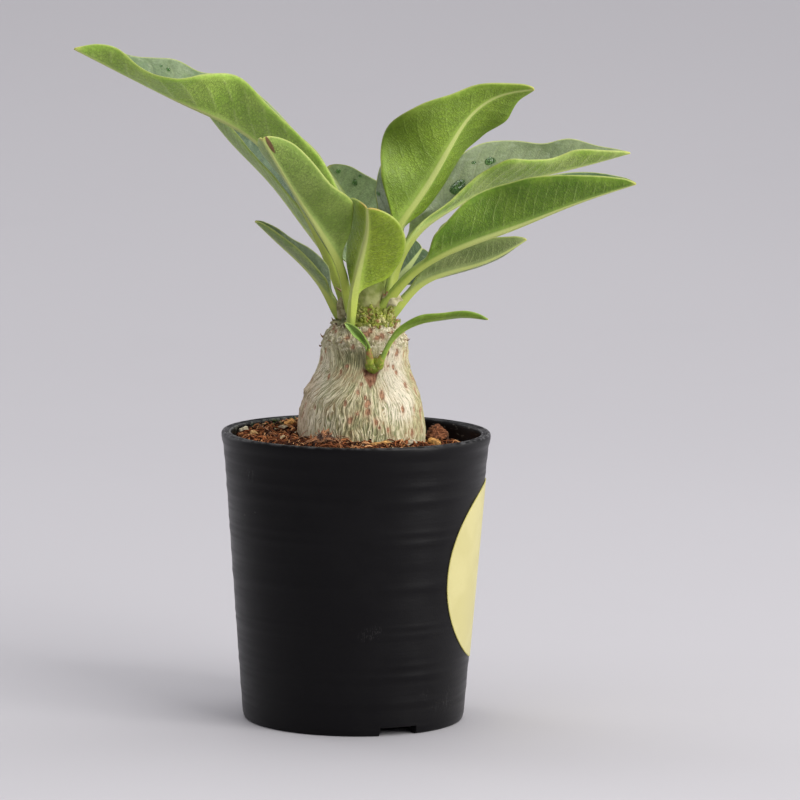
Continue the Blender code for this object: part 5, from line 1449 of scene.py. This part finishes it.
def build_label():
    rings, steps = 26, 160
    rr = np.concatenate([np.linspace(0.05, 29.4, rings - 5), [29.7, 29.9, 30.0, 30.02, 30.02]])
    out = np.concatenate([np.full(rings - 5, 0.32), [0.32, 0.31, 0.28, 0.18, 0.02]])
    th = np.linspace(0, 2 * math.pi, steps, endpoint=False)
    Rr, Th = np.meshgrid(rr, th, indexing="ij")
    O = np.repeat(out[:, None], steps, 1)
    points = label_place(Rr * np.cos(Th), Rr * np.sin(Th), O).reshape(-1, 3)
    m = Look("yellow_sticker", roughness=0.42, specular=0.4)
    disc = m.attribute("disc", "Vector")
    u, v, r = m.split(disc)
    pos = m.place()
    n = m.noise(pos, 800.0, 3.0, 0.6)
    b = m.noise(pos, 60.0, 2.0)
    col = m.mix(m.ease(b, 0.4, 0.6), rgba((189, 181, 124)), rgba((195, 187, 131)))
    col = m.mix(m.ease(n, 0.45, 0.7, 0.0, 0.12), col, rgba((184, 174, 112)))
    col = m.mix(m.math("MULTIPLY", m.ease(r, 29.55, 29.9), 0.6), col, rgba((176, 168, 84)))
    m.colour(col)
    m.bump(n, 0.15, 0.00008)
    flat = np.stack([Rr * np.cos(Th), Rr * np.sin(Th), Rr], -1).reshape(-1, 3)
    obj = make_mesh("label_skin", points, grid_faces(rings, steps, wrap=True), dict(disc=flat), [m.mat])
    shown(obj, "label_paper", "label")


# ---------------------------------------------------------------------------
# stage
# ---------------------------------------------------------------------------
def build_stage():
    # floor that curves up into the backdrop
    ys = [(-2600.0, 0.0)]
    front, radius = 650.0, 3000.0
    ys += [(front, 0.0)]
    for k in range(1, 61):
        a = k / 60 * math.pi / 2
        ys.append((front + radius * math.sin(a), radius * (1 - math.cos(a))))
    ys.append((front + radius, 4200.0))
    xs = np.linspace(-3200, 3200, 5)
    pts = np.array([[x, y, z] for y, z in ys for x in xs])
    m = Look("sweep", roughness=0.62, specular=0.2)
    pos = m.place()
    n = m.noise(pos, 1.2, 2.0)
    far = m.noise(pos, 14.0, 3.0)
    col = m.mix(m.ease(n, 0.3, 0.7), rgba((178, 176, 180)), rgba((180, 178, 182)))
    col = m.mix(m.ease(far, 0.56, 0.72, 0.0, 0.06), col, rgba((170, 169, 173)))
    m.colour(col)
    obj = make_mesh("sweep", pts, grid_faces(len(ys), len(xs)), None, [m.mat])

    world = bpy.data.worlds.new("studio")
    bpy.context.scene.world = world
    world.use_nodes = True
    world.node_tree.nodes["Background"].inputs[0].default_value = (0.97, 0.96, 1.0, 1)
    world.node_tree.nodes["Background"].inputs[1].default_value = 0.49

    def area(name, place, target, size, power, colour=(1, 1, 1)):
        light = bpy.data.lights.new(name, "AREA")
        light.shape = "RECTANGLE"
        light.size, light.size_y = size
        light.energy = power
        light.color = colour
        obj = bpy.data.objects.new(name, light)
        bpy.context.scene.collection.objects.link(obj)
        obj.location = place
        obj.rotation_euler = (Vector(target) - Vector(place)).to_track_quat("-Z", "Y").to_euler()
        return obj

    area("key", (1.05, -0.95, 1.0), (0, 0, 0.12), (1.0, 1.0), 19.0, (1.0, 0.985, 0.955))
    area("side_right", (1.3, -0.66, 0.22), (0, 0, 0.12), (0.4, 0.9), 9.0, (1.0, 0.99, 0.97))
    area("far_right", (1.5, 0.35, 0.4), (0, 0, 0.12), (1.1, 1.2), 6.0, (1.0, 0.99, 0.98))
    area("side_left", (-1.2, 1.0, 0.5), (0, 0, 0.12), (0.5, 1.2), 3.6, (0.97, 0.98, 1.0))
    area("top", (0.0, 0.1, 1.7), (0, 0, 0.1), (1.6, 1.6), 15.0)
    area("back_wash", (0.0, 0.7, 2.0), (0, 1.6, 0.1), (2.4, 0.8), 13.0)

    camera = bpy.data.cameras.new("camera")
    camera.sensor_width = 36.0
    camera.sensor_fit = "HORIZONTAL"
    camera.lens = CAM_F / 800.0 * 36.0
    camera.clip_start, camera.clip_end = 0.1, 20.0
    obj = bpy.data.objects.new("camera", camera)
    bpy.context.scene.collection.objects.link(obj)
    r, u, fw = camera_axes()
    mat = Matrix(((r[0], u[0], -fw[0], 0), (r[1], u[1], -fw[1], 0), (r[2], u[2], -fw[2], 0), (0, 0, 0, 1)))
    mat.translation = Vector((0.0, -CAM_D * MM, CAM_H * MM))
    obj.matrix_world = mat
    bpy.context.scene.camera = obj
    view = bpy.context.scene.view_settings
    view.view_transform = "Standard"
    view.look = "None"
    view.exposure = 0.0


def main():
    build_stage()
    build_pot()
    build_label()
    build_mix()
    build_chips()
    build_litter()
    build_caudex()
    build_spines()
    build_side_shoot()
    grids = {}
    for i, (name, leaf) in enumerate(LEAVES.items()):
        grids[name] = build_leaf(name, leaf, LOOKS[name], 11 + 7 * i)
    points, faces = [], []
    drops = [  # leaf, picture x, picture y, face, half sizes (mm)
        ("leaf_06", 457, 187, "upper", (3.4, 2.2, 1.4)), ("leaf_06", 490.5, 161.5, "upper", (1.9, 1.5, 1.1)), ("leaf_06", 474, 163, "upper", (0.8, 0.6, 0.4)),
        ("leaf_01", 168.5, 69, "upper", (0.7, 0.6, 0.45)), ("leaf_01", 160, 66, "upper", (0.45, 0.4, 0.3)), ("leaf_03", 235, 136, "upper", (0.8, 0.6, 0.4)),
        ("leaf_03", 241, 142, "upper", (0.6, 0.5, 0.35)), ("leaf_03", 231, 139, "upper", (0.45, 0.4, 0.3)), ("leaf_11", 355, 183, "upper", (1.3, 0.9, 0.5)),
        ("leaf_11", 338, 171, "upper", (1.0, 0.7, 0.45)), ("leaf_11", 361, 176, "upper", (0.7, 0.5, 0.35)), ("leaf_12", 378, 193, "upper", (0.6, 1.5, 0.5)),
        ("leaf_09", 401, 294, "upper", (0.9, 0.7, 0.5)),
    ]
    for i, (leaf, px, py, face, size) in enumerate(drops):
        at, n, along = nearest_on(grids[leaf], px, py, face)
        droplet(points, faces, at, n, along, size, i * 1.3)
    obj = make_mesh("water_drops", np.concatenate(points), np.concatenate(faces), None, [water()])
    shown(obj, "leaf")


main()
